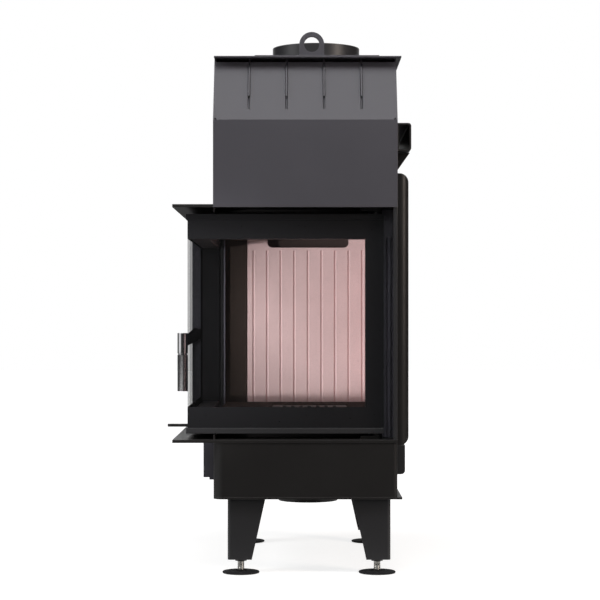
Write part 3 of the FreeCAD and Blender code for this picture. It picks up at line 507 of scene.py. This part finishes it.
def floor_paint(name, colour):
    """Pale matt floor paint that keeps the shadow near the feet and fades to the backdrop further out.

    Gloss sees it bright only near the feet, beside and behind them, so that the front mirrors a dim floor.
    """
    dim_mirror = 0.05
    material, tree, shader, place = new_material(name)
    # Distances are in metres from the middle of the floor
    feed(shader, {"Base Color": shade(colour, 1), "Roughness": 0.9})
    ray = add(tree, "ShaderNodeLightPath").outputs
    axes = add(tree, "ShaderNodeSeparateXYZ", {0: place}).outputs
    reach = add(tree, "ShaderNodeVectorMath", {0: place}, operation="LENGTH")
    aside = add(tree, "ShaderNodeMath", {0: axes["X"]}, operation="ABSOLUTE")
    beside = add(tree, "ShaderNodeMapRange", {"Value": aside, "From Min": 0.3, "From Max": 0.45})
    behind = add(tree, "ShaderNodeMapRange", {"Value": axes["Y"], "From Min": -0.55, "From Max": -0.35})
    off = add(tree, "ShaderNodeMath", {0: beside, 1: behind}, operation="MAXIMUM")
    near = add(tree, "ShaderNodeMapRange", {"Value": reach, "From Min": 1.5, "From Max": 1.0})
    around = add(tree, "ShaderNodeMath", {0: near, 1: off}, operation="MULTIPLY")
    gloss = add(tree, "ShaderNodeMath", {0: ray["Is Glossy Ray"], 1: around}, operation="MULTIPLY")
    direct = add(tree, "ShaderNodeMath", {0: ray["Is Camera Ray"], 1: gloss}, operation="MAXIMUM")
    seen = add(tree, "ShaderNodeMath", {0: direct, 1: ray["Is Transmission Ray"]}, operation="MAXIMUM")
    fade = add(tree, "ShaderNodeMapRange", {
        "Value": reach, "From Min": 0.4, "From Max": 1.4, "To Min": 0.8, "To Max": 1.0})
    strength = add(tree, "ShaderNodeMath", {0: seen, 1: fade}, operation="MULTIPLY")
    glow = add(tree, "ShaderNodeEmission", {"Strength": strength})
    lit = add(tree, "ShaderNodeAddShader", {0: shader, 1: glow})
    hidden = add(tree, "ShaderNodeMath", {0: ray["Is Glossy Ray"], 1: gloss}, operation="SUBTRACT")
    dim = add(tree, "ShaderNodeEmission", {"Strength": dim_mirror})
    shown = add(tree, "ShaderNodeMixShader", {0: hidden, 1: lit, 2: dim})
    feed(tree.nodes["Material Output"], {"Surface": shown})
    return material


def studio_world(ambient):
    """White backdrop under a soft light from all sides.

    Gloss sees a dim room with a bright front ceiling, the backdrop and a low white card on the left.
    """
    world = bpy.data.worlds.new("studio")
    world.use_nodes = True
    tree = world.node_tree
    # Bounds are parts of a unit vector: X to the right, Y to the back and Z up
    ray = add(tree, "ShaderNodeLightPath").outputs
    way = add(tree, "ShaderNodeTexCoord").outputs["Generated"]
    axes = add(tree, "ShaderNodeSeparateXYZ", {0: way}).outputs
    high = add(tree, "ShaderNodeMapRange", {
        "Value": axes["Z"], "From Min": 0.32, "From Max": 0.55, "To Min": 0.05, "To Max": 2.2})
    ahead = add(tree, "ShaderNodeMapRange", {
        "Value": axes["Y"], "From Min": 0.05, "From Max": -0.3, "To Min": 0.1})
    ceiling = add(tree, "ShaderNodeMath", {0: high, 1: ahead}, operation="MULTIPLY")
    backdrop = add(tree, "ShaderNodeMapRange", {"Value": axes["Y"], "From Min": 0.75, "From Max": 0.95})
    room = add(tree, "ShaderNodeMath", {0: ceiling, 1: backdrop}, operation="MAXIMUM")
    card = add(tree, "ShaderNodeMapRange", {"Value": axes["X"], "From Min": -0.5, "From Max": -0.65})
    for axis, outside, within in (("Z", -0.07, -0.03), ("Z", 0.2, 0.15), ("Y", 0.1, 0.0)):
        edge = add(tree, "ShaderNodeMapRange", {"Value": axes[axis], "From Min": outside, "From Max": within})
        card = add(tree, "ShaderNodeMath", {0: card, 1: edge}, operation="MULTIPLY")
    bright = add(tree, "ShaderNodeMath", {0: room, 1: card}, operation="MAXIMUM")
    mirrored = add(tree, "ShaderNodeBackground", {"Strength": bright})
    soft = add(tree, "ShaderNodeBackground", {"Color": shade(linear("#fbfaf8"), 1), "Strength": ambient})
    white = add(tree, "ShaderNodeBackground", {"Color": shade(linear("#ffffff"), 1), "Strength": 1.0})
    glossy = add(tree, "ShaderNodeMixShader", {0: ray["Is Glossy Ray"], 1: soft, 2: mirrored})
    seen = add(tree, "ShaderNodeMath", {0: ray["Is Camera Ray"], 1: ray["Is Transmission Ray"]},
               operation="MAXIMUM")
    both = add(tree, "ShaderNodeMixShader", {0: seen, 1: glossy, 2: white})
    feed(tree.nodes["World Output"], {"Surface": both})
    return world


# Node trees of what repeats

def knurl_tree(material):
    """Staggered rows of small four-sided points round an upright cylinder."""
    blunt = 0.05 * MM
    tree, given = new_tree("knurl", Vector=["Centre"], Int=["Columns", "Rows"],
                           Float=["Radius", "Height", "Depth", "Point Radius"])
    step = add(tree, "ShaderNodeMath", {0: TURN, 1: given["Columns"]}, operation="DIVIDE")
    width = add(tree, "ShaderNodeMath", {0: TURN, 1: step}, operation="SUBTRACT")
    net = add(tree, "GeometryNodeMeshGrid", {
        "Size X": width, "Size Y": given["Height"],
        "Vertices X": given["Columns"], "Vertices Y": given["Rows"]})
    place = add(tree, "GeometryNodeInputPosition")
    flat = add(tree, "ShaderNodeSeparateXYZ", {0: place}).outputs

    # Every second row is turned by half a step
    spaces = add(tree, "ShaderNodeMath", {0: given["Rows"], 1: 1.0}, operation="SUBTRACT")
    pitch = add(tree, "ShaderNodeMath", {0: given["Height"], 1: spaces}, operation="DIVIDE")
    half = add(tree, "ShaderNodeMath", {0: given["Height"], 1: 0.5}, operation="MULTIPLY")
    above = add(tree, "ShaderNodeMath", {0: flat["Y"], 1: half}, operation="ADD")
    row = add(tree, "ShaderNodeMath", {0: above, 1: pitch}, operation="DIVIDE")
    whole = add(tree, "ShaderNodeMath", {0: row}, operation="ROUND")
    odd = add(tree, "ShaderNodeMath", {0: whole, 1: 2.0}, operation="MODULO")
    shift = add(tree, "ShaderNodeMath", {0: odd, 1: step}, operation="MULTIPLY")
    half_shift = add(tree, "ShaderNodeMath", {0: shift, 1: 0.5}, operation="MULTIPLY")
    angle = add(tree, "ShaderNodeMath", {0: flat["X"], 1: half_shift}, operation="ADD")

    # The flat net is wrapped round the cylinder, and its points face outwards
    cosine = add(tree, "ShaderNodeMath", {0: angle}, operation="COSINE")
    sine = add(tree, "ShaderNodeMath", {0: angle}, operation="SINE")
    outward = add(tree, "ShaderNodeCombineXYZ", {"X": cosine, "Y": sine})
    ring = add(tree, "ShaderNodeVectorMath", {0: outward, "Scale": given["Radius"]}, operation="SCALE")
    raised = add(tree, "ShaderNodeCombineXYZ", {"Z": flat["Y"]})
    wrapped = add(tree, "ShaderNodeVectorMath", {0: ring, 1: raised}, operation="ADD")
    placed = add(tree, "ShaderNodeVectorMath", {0: wrapped, 1: given["Centre"]}, operation="ADD")
    stored = add(tree, "GeometryNodeStoreNamedAttribute", {
        "Geometry": net, "Name": "outward", "Value": outward}, data_type="FLOAT_VECTOR", domain="POINT")
    moved = add(tree, "GeometryNodeSetPosition", {"Geometry": stored, "Position": placed})
    point = add(tree, "GeometryNodeMeshCone", {
        "Vertices": 4, "Radius Top": blunt, "Radius Bottom": given["Point Radius"], "Depth": given["Depth"]})
    kept = add(tree, "GeometryNodeInputNamedAttribute", {"Name": "outward"}, data_type="FLOAT_VECTOR")
    facing = add(tree, "FunctionNodeAxesToRotation", {
        "Primary Axis": kept.outputs["Attribute"], "Secondary Axis": (0.0, 0.0, 1.0)},
        primary_axis="Z", secondary_axis="X")
    copies = add(tree, "GeometryNodeInstanceOnPoints", {
        "Points": moved, "Instance": point.outputs["Mesh"], "Rotation": facing})
    return close_tree(tree, copies, material)


def thread_tree(material):
    """Screw thread: a ridge on a rising spiral."""
    tree, given = new_tree("thread", Vector=["Start"], Float=["Radius", "Height", "Turns", "Ridge"])
    spiral = add(tree, "GeometryNodeCurveSpiral", {
        "Resolution": 28, "Rotations": given["Turns"], "Height": given["Height"],
        "Start Radius": given["Radius"], "End Radius": given["Radius"]})
    moved = add(tree, "GeometryNodeSetPosition", {"Geometry": spiral, "Offset": given["Start"]})
    ridge = add(tree, "GeometryNodeCurvePrimitiveCircle", {"Resolution": 4, "Radius": given["Ridge"]})
    swept = add(tree, "GeometryNodeCurveToMesh", {"Curve": moved, "Profile Curve": ridge, "Fill Caps": True})
    return close_tree(tree, swept, material)


def rope_tree(material):
    """Braided rope along a line of edges: two sets of lobed strands that turn opposite ways."""
    spacing = 1.6 * MM
    valley = 0.8
    tree, given = new_tree("rope", Float=["Radius", "Corner", "Lay"], Int=["Strands"])
    line = add(tree, "GeometryNodeMeshToCurve", {"Mesh": given["Geometry"]})
    bent = add(tree, "GeometryNodeFilletCurve", {"Curve": line, "Radius": given["Corner"], "Count": 8},
               mode="POLY")
    even = add(tree, "GeometryNodeResampleCurve", {"Curve": bent, "Length": spacing}, mode="LENGTH")
    along = add(tree, "GeometryNodeSplineParameter").outputs
    turns = add(tree, "ShaderNodeMath", {0: along["Length"], 1: given["Lay"]}, operation="DIVIDE")

    # The section bulges once for each strand
    ring = add(tree, "GeometryNodeCurvePrimitiveCircle", {"Resolution": 48, "Radius": given["Radius"]})
    lobes = add(tree, "ShaderNodeMath", {0: along["Factor"], 1: given["Strands"]}, operation="MULTIPLY")
    wave = add(tree, "ShaderNodeMath", {0: lobes, 1: math.pi}, operation="MULTIPLY")
    crest = add(tree, "ShaderNodeMath", {0: wave}, operation="SINE")
    bulge = add(tree, "ShaderNodeMath", {0: crest}, operation="ABSOLUTE")
    size = add(tree, "ShaderNodeMapRange", {"Value": bulge, "To Min": valley, "To Max": 1.0})
    place = add(tree, "GeometryNodeInputPosition")
    pushed = add(tree, "ShaderNodeVectorMath", {0: place, "Scale": size}, operation="SCALE")
    lobed = add(tree, "GeometryNodeSetPosition", {"Geometry": ring, "Position": pushed})

    braid = add(tree, "GeometryNodeJoinGeometry")
    for way in (TURN, -TURN):
        twist = add(tree, "ShaderNodeMath", {0: turns, 1: way}, operation="MULTIPLY")
        tilted = add(tree, "GeometryNodeSetCurveTilt", {"Curve": even, "Tilt": twist})
        strand = add(tree, "GeometryNodeCurveToMesh", {"Curve": tilted, "Profile Curve": lobed})
        feed(braid, {0: strand})
    return close_tree(tree, braid, material)


def screw_tree(material):
    """Button-head screws with a hexagon socket, one on each point of a mesh."""
    rim_share = 0.45
    crown_share = 0.62
    socket_share = 0.38
    socket_depth = 0.2 * MM
    tree, given = new_tree("screws", Vector=["Axis"], Float=["Radius", "Height"])
    low = add(tree, "ShaderNodeMath", {0: given["Height"], 1: rim_share}, operation="MULTIPLY")
    high = add(tree, "ShaderNodeMath", {0: given["Height"], 1: 1 - rim_share}, operation="MULTIPLY")
    slim = add(tree, "ShaderNodeMath", {0: given["Radius"], 1: crown_share}, operation="MULTIPLY")
    socket = add(tree, "ShaderNodeMath", {0: given["Radius"], 1: socket_share}, operation="MULTIPLY")
    rim = add(tree, "GeometryNodeMeshCone", {
        "Vertices": 24, "Radius Bottom": given["Radius"], "Radius Top": given["Radius"], "Depth": low})
    crown = add(tree, "GeometryNodeMeshCone", {
        "Vertices": 24, "Radius Bottom": given["Radius"], "Radius Top": slim, "Depth": high})
    hollow = add(tree, "GeometryNodeMeshCone", {
        "Vertices": 6, "Radius Bottom": socket, "Radius Top": 0.0, "Depth": socket_depth})
    head = add(tree, "GeometryNodeJoinGeometry")
    feed(head, {0: rim.outputs["Mesh"]})
    for part, height in ((crown, low), (hollow, given["Height"])):
        lift = add(tree, "ShaderNodeCombineXYZ", {"Z": height})
        raised = add(tree, "GeometryNodeTransform", {"Geometry": part.outputs["Mesh"], "Translation": lift})
        feed(head, {0: raised})
    facing = add(tree, "FunctionNodeAlignRotationToVector", {"Vector": given["Axis"]}, axis="Z")
    copies = add(tree, "GeometryNodeInstanceOnPoints", {
        "Points": given["Geometry"], "Instance": head, "Rotation": facing})
    return close_tree(tree, copies, material)


def weld_tree(material):
    """Weld bead along a line of edges: overlapping flat ripples."""
    smallest, largest = 0.85, 1.15
    seed = 7
    tree, given = new_tree("weld", Float=["Radius", "Pitch"])
    line = add(tree, "GeometryNodeMeshToCurve", {"Mesh": given["Geometry"]})
    even = add(tree, "GeometryNodeResampleCurve", {"Curve": line, "Length": given["Pitch"]}, mode="LENGTH")
    drop = add(tree, "GeometryNodeMeshIcoSphere", {"Subdivisions": 2, "Radius": given["Radius"]})
    uneven = add(tree, "FunctionNodeRandomValue", {2: smallest, 3: largest, "Seed": seed},
                 data_type="FLOAT")
    copies = add(tree, "GeometryNodeInstanceOnPoints", {
        "Points": even, "Instance": drop.outputs["Mesh"], "Scale": uneven.outputs[1]})
    return close_tree(tree, copies, material)


# Pieces and lamps that come in numbers

def row_of(first, last, count):
    """Even points from one place to another."""
    return [Vector(first).lerp(Vector(last), step / (count - 1)) for step in range(count)]


def drive_screws(name, places, axis, heads, sizes, body, slot):
    """Piece of screws, one on each place, with their heads along an axis."""
    values = {"Axis": axis, "Radius": sizes.head_radius, "Height": sizes.head_height}
    new_piece(name, grow(name, mesh_of("screw_points", places), heads, values), body, slot)


def lay_weld(name, points, paint, sizes, slot):
    """Weld bead on the casing along a closed line of points."""
    values = {"Radius": sizes.bead_radius, "Pitch": sizes.bead_pitch}
    new_piece(name, grow(name, loop_of("weld_line", points), weld_tree(paint), values), "casing", slot)


def hang_lamp(name, kind, place, aim, mirrored, **settings):
    """Lamp at a place, turned to an aim. Gloss shows it only where mirrored is set."""
    lamp = bpy.data.lights.new(name, kind)
    for setting, value in settings.items():
        setattr(lamp, setting, value)
    holder = bpy.data.objects.new(name, lamp)
    holder.location = place
    holder.rotation_euler = (Vector(aim) - Vector(place)).to_track_quat("-Z", "Y").to_euler()
    holder.visible_glossy = mirrored
    bpy.context.scene.collection.objects.link(holder)


# Operators

class INSERT_OT_paint_hood(bpy.types.Operator):
    """Give the hood and the left air box grey stove paint, and the jambs and back panel a grey made paler as
    painted light, with soot and painted shade on the back panel inside the seal
    """
    bl_idname = "insert.paint_hood"
    bl_label = "Paint the hood"

    def execute(self, context):
        colours = context.scene.insert_finishes
        finish_nodes(stove_paint("grey stove paint, baked", colours.hood, roughness=0.35, lift=1.6),
                     *slot_nodes("hood_paint"), "air_box_left")
        # The jambs' grey is paler than the hood's: painted light on these recessed faces
        finish_nodes(stove_paint("grey stove paint made paler as painted light, baked", colours.jamb_grey_with_painted_light, roughness=0.4, lift=1.4),
                     "left_jamb", "right_jamb")
        # Back panel: the paler grey, brown-black inside the seal as soot and painted shade
        sooted = sooted_and_shaded_paint("paler grey stove paint with soot and painted shade", colours.jamb_grey_with_painted_light, colours.soot_and_shade, roughness=0.4, lift=1.4)
        finish_nodes(sooted, "firebox_back")
        return {"FINISHED"}


class INSERT_OT_paint_casing(bpy.types.Operator):
    """Give the base, covers and bracket black stove paint, and the legs, wall and collar a greyer one"""
    bl_idname = "insert.paint_casing"
    bl_label = "Paint the casing"

    def execute(self, context):
        colours = context.scene.insert_finishes
        nodes = [node for node in slot_nodes("body_paint") if node not in ("firebox_back", "air_box_left")]
        greyer = [node for node in nodes
                  if node.startswith("leg_") or node in ("right_wall", "air_duct_right", "flue_collar")]
        finish_nodes(stove_paint("black stove paint, baked", colours.casing,
                                 roughness=0.38, lift=2.6, specular=0.3), *nodes)
        finish_nodes(stove_paint("grey-black stove paint, baked", colours.strip,
                                 roughness=0.38, lift=2.2, specular=0.35), *greyer)
        return {"FINISHED"}


class INSERT_OT_paint_door(bpy.types.Operator):
    """Give the door frame and the handle's arm matt black paint, and the lower strips a dark grey one"""
    bl_idname = "insert.paint_door"
    bl_label = "Paint the door"

    def execute(self, context):
        colours = context.scene.insert_finishes
        finish_nodes(stove_paint("matt black stove paint, baked", colours.door,
                                 roughness=0.6, lift=2.2, specular=0.15), *slot_nodes("door_paint"))
        finish_nodes(stove_paint("dark grey stove paint, baked", colours.strip, roughness=0.4, lift=1.8),
                     "glass_strips_bottom")
        return {"FINISHED"}


class INSERT_OT_glaze_door(bpy.types.Operator):
    """Give both panes their ceramic glass"""
    bl_idname = "insert.glaze_door"
    bl_label = "Glaze the door"

    def execute(self, context):
        finish_nodes(ceramic_glass("clear ceramic glass", context.scene.insert_finishes.glass),
                     *slot_nodes("ceramic_glass"))
        return {"FINISHED"}


class INSERT_OT_print_panes(bpy.types.Operator):
    """Fire the black enamel border on both panes, over the rails and stiles behind them"""
    bl_idname = "insert.print_panes"
    bl_label = "Print the panes"

    def execute(self, context):
        sizes = context.scene.insert_panes
        enamel = fired_enamel("black fired enamel", context.scene.insert_finishes.enamel)
        for side, stile, along, out in (
                ("front", "door_hinge_stile", 0, 1), ("side", "door_rear_stile", 1, 0)):
            low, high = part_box(side + "_glass")
            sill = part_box("door_" + side + "_bottom_rail")[1].z + sizes.lower_overlap
            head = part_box("door_" + side + "_top_rail")[0].z
            near, far = low[along], high[along]
            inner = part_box(stile)[0][along]
            outline = []
            for place, height in ((near, low.z), (far, low.z), (far, high.z), (near, high.z),
                                  (near, head), (inner, head), (inner, sill), (near, sill)):
                point = Vector((low.x, low.y, height))
                point[along] = place
                outline.append(point)
            film = Vector((0.0, 0.0, 0.0))
            film[out] = -sizes.film
            name = side + "_pane_print"
            new_piece(name, plate(name, outline, film, enamel), "door", "door_paint")
        return {"FINISHED"}


class INSERT_OT_line_firebox(bpy.types.Operator):
    """Give the linings, hearth, baffle and grate their finishes"""
    bl_idname = "insert.line_firebox"
    bl_label = "Line the firebox"

    def execute(self, context):
        colours = context.scene.insert_finishes
        finish_nodes(fireclay("pressed fireclay", colours.lining), *slot_nodes("fireclay"))
        finish_nodes(fireclay("sooted fireclay", colours.dark_lining), *slot_nodes("dark_fireclay"))
        # The hearth's fireclay is darker than the left lining's as painted shade
        finish_nodes(fireclay("sooted hearth fireclay darkened as painted shade", colours.hearth), "hearth_bricks")
        finish_nodes(sand_cast("raw cast iron", colours.iron), *slot_nodes("cast_iron"))
        return {"FINISHED"}


class INSERT_OT_finish_steel(bpy.types.Operator):
    """Give the latch and pan drawn steel, and the lock nuts, hinge plugs and lever black oxide"""
    bl_idname = "insert.finish_steel"
    bl_label = "Finish the steel"

    def execute(self, context):
        colours = context.scene.insert_finishes
        finish_nodes(worked_metal("drawn steel", colours.steel, roughness=0.35,
                                  streak=(1.0, 0.05, 1.0), edge=0.6 * MM), *slot_nodes("plain_steel"))
        finish_nodes(stove_paint("black oxide steel", colours.casing, roughness=0.4, lift=2.4),
                     "foot_lock_nuts", "hinge_plugs", "air_lever")
        return {"FINISHED"}


class INSERT_OT_make_grip(bpy.types.Operator):
    """Turn the chrome grip and knurl its lower part"""
    bl_idname = "insert.make_grip"
    bl_label = "Make the grip"

    def execute(self, context):
        segments = 64
        arc_steps = 5
        knurl_sink = 0.02 * MM
        sizes = context.scene.insert_grip
        chrome = worked_metal("polished chrome", context.scene.insert_finishes.chrome,
                              roughness=0.1, streak=(1.0, 1.0, 0.05))
        low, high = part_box("handle_grip")
        centre = (low + high) / 2
        radius = (high.x - low.x) / 2
        core = radius - sizes.knurl_depth
        collar = high.z - (high.z - low.z) * sizes.smooth_share
        groove = sizes.groove
        curve = sizes.end_round
        quarter = [TURN / 4 * step / arc_steps for step in range(arc_steps + 1)]
        bends = [(curve * math.sin(angle), curve * math.cos(angle)) for angle in quarter]
        profile = [(core - curve + out, low.z + curve - rise, 0) for out, rise in bends]
        profile += [(core, collar - 2 * groove, 0), (radius - 2 * groove, collar - groove, 0),
                    (radius - 2 * groove, collar + groove, 0), (radius, collar + 2 * groove, 0)]
        profile += [(radius - curve + out, high.z - curve + rise, 0) for out, rise in reversed(bends)]
        new_piece("grip_core", lathe("grip_core", centre, profile, segments, [chrome]),
                  "handle", "chrome", "handle_grip")
        bottom = low.z + 2 * curve
        top = collar - 3 * groove
        half_pitch = TURN * radius / sizes.knurl_columns / 2
        knurl = grow("grip_knurl", bpy.data.meshes.new("seed"), knurl_tree(chrome), {
            "Centre": (centre.x, centre.y, (bottom + top) / 2), "Radius": core - knurl_sink,
            "Height": top - bottom, "Columns": sizes.knurl_columns, "Rows": int((top - bottom) / half_pitch),
            "Depth": sizes.knurl_depth, "Point Radius": half_pitch})
        new_piece("grip_knurl", knurl, "handle", "chrome")
        return {"FINISHED"}


class INSERT_OT_make_feet(bpy.types.Operator):
    """Make the pads and threaded rods of the levelling feet"""
    bl_idname = "insert.make_feet"
    bl_label = "Make the levelling feet"

    def execute(self, context):
        segments = 72
        rod = 7 * MM
        hub_height = 3.0 * MM
        rod_bevel = 1.2 * MM
        thread_end = 2.2 * MM
        sizes = context.scene.insert_feet
        colours = context.scene.insert_finishes
        zinc = worked_metal("bright zinc plating", colours.zinc, roughness=0.22, streak=(1.0, 1.0, 1.0))
        rubber = moulded_pad("moulded black rubber", colours.rubber)
        nylon = moulded_pad("moulded black nylon", colours.nylon)
        ridge = thread_tree(zinc)
        core = rod - sizes.thread_depth
        for body in [name for name in frame["bodies"] if name.startswith("foot_")]:
            node = "levelling_" + body
            low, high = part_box(node)
            centre = (low + high) / 2
            wide = (high.x - low.x) / 2
            rim = low.z + sizes.sole
            hub = rim + sizes.dome
            start = hub + hub_height
            sole = [(wide - 2.0 * MM, low.z), (wide - 0.6 * MM, low.z + 0.4 * MM)]
            cap = [(wide - 0.3 * MM, rim), (wide, rim + 0.3 * MM), (wide - 0.2 * MM, rim + 1.4 * MM),
                   (wide - 1.5 * MM, rim + 2.2 * MM), (wide * 0.62, hub),
                   (rod + 5.0 * MM, hub + 0.6 * MM), (rod + 4.4 * MM, hub + 2.4 * MM)]
            shaft = [(rod + 0.8 * MM, start), (core, start + 0.4 * MM),
                     (core, high.z - rod_bevel), (core - rod_bevel, high.z)]
            profile = [(*point, index) for index, part in enumerate((sole, cap, shaft)) for point in part]
            pad = lathe("pad_" + body, centre, profile, segments, [rubber, nylon, zinc])
            new_piece("pad_" + body, pad, body, "bright_steel", node)
            run = high.z - thread_end - start
            thread = grow("thread_" + body, bpy.data.meshes.new("seed"), ridge, {
                "Start": (centre.x, centre.y, start), "Radius": core, "Height": run,
                "Turns": run / sizes.pitch, "Ridge": sizes.thread_depth})
            new_piece("thread_" + body, thread, body, "bright_steel")
        return {"FINISHED"}


class INSERT_OT_make_seal(bpy.types.Operator):
    """Make the braided rope seal round the back of the door"""
    bl_idname = "insert.make_seal"
    bl_label = "Make the rope seal"

    def execute(self, context):
        radius = 4.5 * MM
        outer_inset = 4.85 * MM
        sizes = context.scene.insert_seal
        low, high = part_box("door_gasket")
        left, right = low.x + outer_inset, high.x - radius
        front, back = low.y + outer_inset, high.y - radius
        bottom, top = low.z + radius, high.z - radius
        corners = [(left, front, bottom), (right, front, bottom), (right, front, top),
                   (left, front, top), (left, back, top), (left, back, bottom)]
        yarn = glass_yarn("braided glass yarn", context.scene.insert_finishes.rope)
        rope = grow("seal_rope", loop_of("seal_line", corners), rope_tree(yarn), {
            "Radius": radius, "Corner": sizes.corner, "Lay": sizes.lay, "Strands": sizes.strands})
        rope.polygons.foreach_set("use_smooth", [True] * len(rope.polygons))
        new_piece("seal_rope", rope, "door", "rope_seal", "door_gasket")
        return {"FINISHED"}


class INSERT_OT_make_fixings(bpy.types.Operator):
    """Put screws on the rear cover and the door rails, and weld beads on the top"""
    bl_idname = "insert.make_fixings"
    bl_label = "Make screws and welds"

    def execute(self, context):
        sizes = context.scene.insert_fixings
        colours = context.scene.insert_finishes
        heads = screw_tree(stove_paint("black oxide screws", colours.screws, roughness=0.35, lift=2.2))
        edge = sizes.edge
        rightward, rearward = (1.0, 0.0, 0.0), (0.0, 1.0, 0.0)

        low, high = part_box("rear_cover")
        places = []
        for x in (low.x + edge, high.x - edge):
            places += row_of((x, high.y, low.z + edge), (x, high.y, high.z - edge), 4)
        drive_screws("rear_cover_screws", places, rearward, heads, sizes, "casing", "body_paint")

        for side in ("front", "side"):
            for level, share in (("top", 0.3), ("bottom", 0.7)):
                rail = "door_" + side + "_" + level + "_rail"
                low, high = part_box(rail)
                z = low.z + (high.z - low.z) * share
                if side == "front":
                    axis = rearward
                    places = row_of((low.x + 3 * edge, high.y, z), (high.x - edge, high.y, z), 4)
                else:
                    axis = rightward
                    places = row_of((high.x, low.y + edge, z), (high.x, high.y - edge, z), 5)
                drive_screws(rail + "_screws", places, axis, heads, sizes, "door", "door_paint")

        grey = stove_paint("grey stove paint over weld", colours.hood, roughness=0.5, lift=1.3)
        low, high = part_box("lifting_eye")
        foot = [(low.x, low.y, low.z), (high.x, low.y, low.z),
                (high.x, high.y, low.z), (low.x, high.y, low.z)]
        lay_weld("eye_weld", foot, grey, sizes, "hood_paint")

        black = stove_paint("black stove paint over weld", colours.casing, roughness=0.5, lift=1.3)
        steps = 120
        low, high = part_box("flue_collar")
        centre = (low + high) / 2
        radius = (high.x - low.x) / 2
        angles = [TURN * step / steps for step in range(steps)]
        ring = [(centre.x + radius * math.cos(a), centre.y + radius * math.sin(a), low.z) for a in angles]
        lay_weld("collar_weld", ring, black, sizes, "body_paint")
        return {"FINISHED"}


class INSERT_OT_set_stage(bpy.types.Operator):
    """Set the floor, the lights, the backdrop and the camera"""
    bl_idname = "insert.set_stage"
    bl_label = "Set the stage"

    def execute(self, context):
        scene = context.scene
        light = scene.insert_stage
        scene.view_settings.view_transform = "Standard"
        scene.world = studio_world(light.ambient)

        wide = 14.0
        below = -1.0 * MM
        corners = [(-wide, -wide, below), (wide, -wide, below), (wide, wide, below), (-wide, wide, below)]
        mesh = mesh_of("floor", corners, [(0, 1, 2, 3)])
        mesh.materials.append(floor_paint("pale matt floor paint", light.floor))
        floor = bpy.data.objects.new("floor", mesh)
        scene.collection.objects.link(floor)

        # Softboxes over the front, behind the camera and on both sides
        aim = (0.0, 0.0, 0.55)
        for name, place, size, power, tint, mirrored in (
                ("top softbox", (0.0, -1.0, 1.9), (1.2, 0.4), light.top_light, "#ffffff", False),
                ("front softbox", (0.0, -4.4, 1.8), (1.6, 1.0), light.front_light, "#ffffff", False),
                ("left softbox", (-3.0, -1.2, 2.7), (1.2, 1.6), light.left_light, "#ffffff", True),
                ("right softbox", (2.6, -1.6, 1.6), (0.8, 1.8), light.right_light, "#ffefe2", True)):
            hang_lamp(name, "AREA", place, aim, mirrored, energy=power, color=linear(tint),
                      shape="RECTANGLE", size=size[0], size_y=size[1])

        # Snooted lamp low on the front left, which lights the linings through both panes
        hang_lamp("firebox lamp", "SPOT", (-2.3, -2.7, 0.34), (0.04, 0.1, 0.52), False,
                  energy=light.firebox_light, spot_size=math.radians(9.0), spot_blend=0.5,
                  shadow_soft_size=0.12)

        # Level camera with a long lens; the shifts in pixels set the picture's middle and its horizon
        picture = 600
        middle_shift = -0.5
        horizon_shift = 20
        lens = bpy.data.cameras.new("camera")
        lens.lens = 108.0
        lens.sensor_width = 36.0
        lens.shift_x = middle_shift / picture
        lens.shift_y = horizon_shift / picture
        camera = bpy.data.objects.new("camera", lens)
        camera.location = (0.03625, -3.841, 0.504)
        camera.rotation_euler = (math.radians(90), 0.0, 0.0)
        scene.collection.objects.link(camera)
        scene.camera = camera
        return {"FINISHED"}


class INSERT_PT_panel(bpy.types.Panel):
    """Sidebar panel with the insert's operators and settings"""
    bl_idname = "INSERT_PT_panel"
    bl_label = "Corner fireplace insert"
    bl_space_type = "VIEW_3D"
    bl_region_type = "UI"
    bl_category = "Insert"

    def draw(self, context):
        for operator in OPERATORS:
            self.layout.operator(operator.bl_idname)
        for name, group in GROUPS.items():
            box = self.layout.box()
            for setting in group.__annotations__:
                box.prop(getattr(context.scene, name), setting)


GROUPS = {
    "insert_finishes": InsertFinishes, "insert_panes": InsertPanes, "insert_grip": InsertGrip,
    "insert_feet": InsertFeet, "insert_seal": InsertSeal, "insert_fixings": InsertFixings,
    "insert_stage": InsertStage}
OPERATORS = (
    INSERT_OT_paint_hood, INSERT_OT_paint_casing, INSERT_OT_paint_door, INSERT_OT_glaze_door,
    INSERT_OT_print_panes, INSERT_OT_line_firebox, INSERT_OT_finish_steel, INSERT_OT_make_grip,
    INSERT_OT_make_feet, INSERT_OT_make_seal, INSERT_OT_make_fixings, INSERT_OT_set_stage)


def register():
    """Register the settings, the operators and the panel."""
    for name, group in GROUPS.items():
        bpy.utils.register_class(group)
        setattr(bpy.types.Scene, name, PointerProperty(type=group))
    for operator in OPERATORS:
        bpy.utils.register_class(operator)
    bpy.utils.register_class(INSERT_PT_panel)


def unregister():
    """Take away what register added."""
    bpy.utils.unregister_class(INSERT_PT_panel)
    for operator in reversed(OPERATORS):
        bpy.utils.unregister_class(operator)
    for name, group in GROUPS.items():
        delattr(bpy.types.Scene, name)
        bpy.utils.unregister_class(group)


def main():
    """Register the add-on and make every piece."""
    kept = set(frame["nodes"].values()) | set(frame["bodies"].values())
    for thing in [thing for thing in bpy.data.objects if thing not in kept]:
        bpy.data.objects.remove(thing)
    register()
    bpy.ops.insert.paint_hood()
    bpy.ops.insert.paint_casing()
    bpy.ops.insert.paint_door()
    bpy.ops.insert.glaze_door()
    bpy.ops.insert.print_panes()
    bpy.ops.insert.line_firebox()
    bpy.ops.insert.finish_steel()
    bpy.ops.insert.make_grip()
    bpy.ops.insert.make_feet()
    bpy.ops.insert.make_seal()
    bpy.ops.insert.make_fixings()
    bpy.ops.insert.set_stage()


if __name__ == "__main__":
    main()
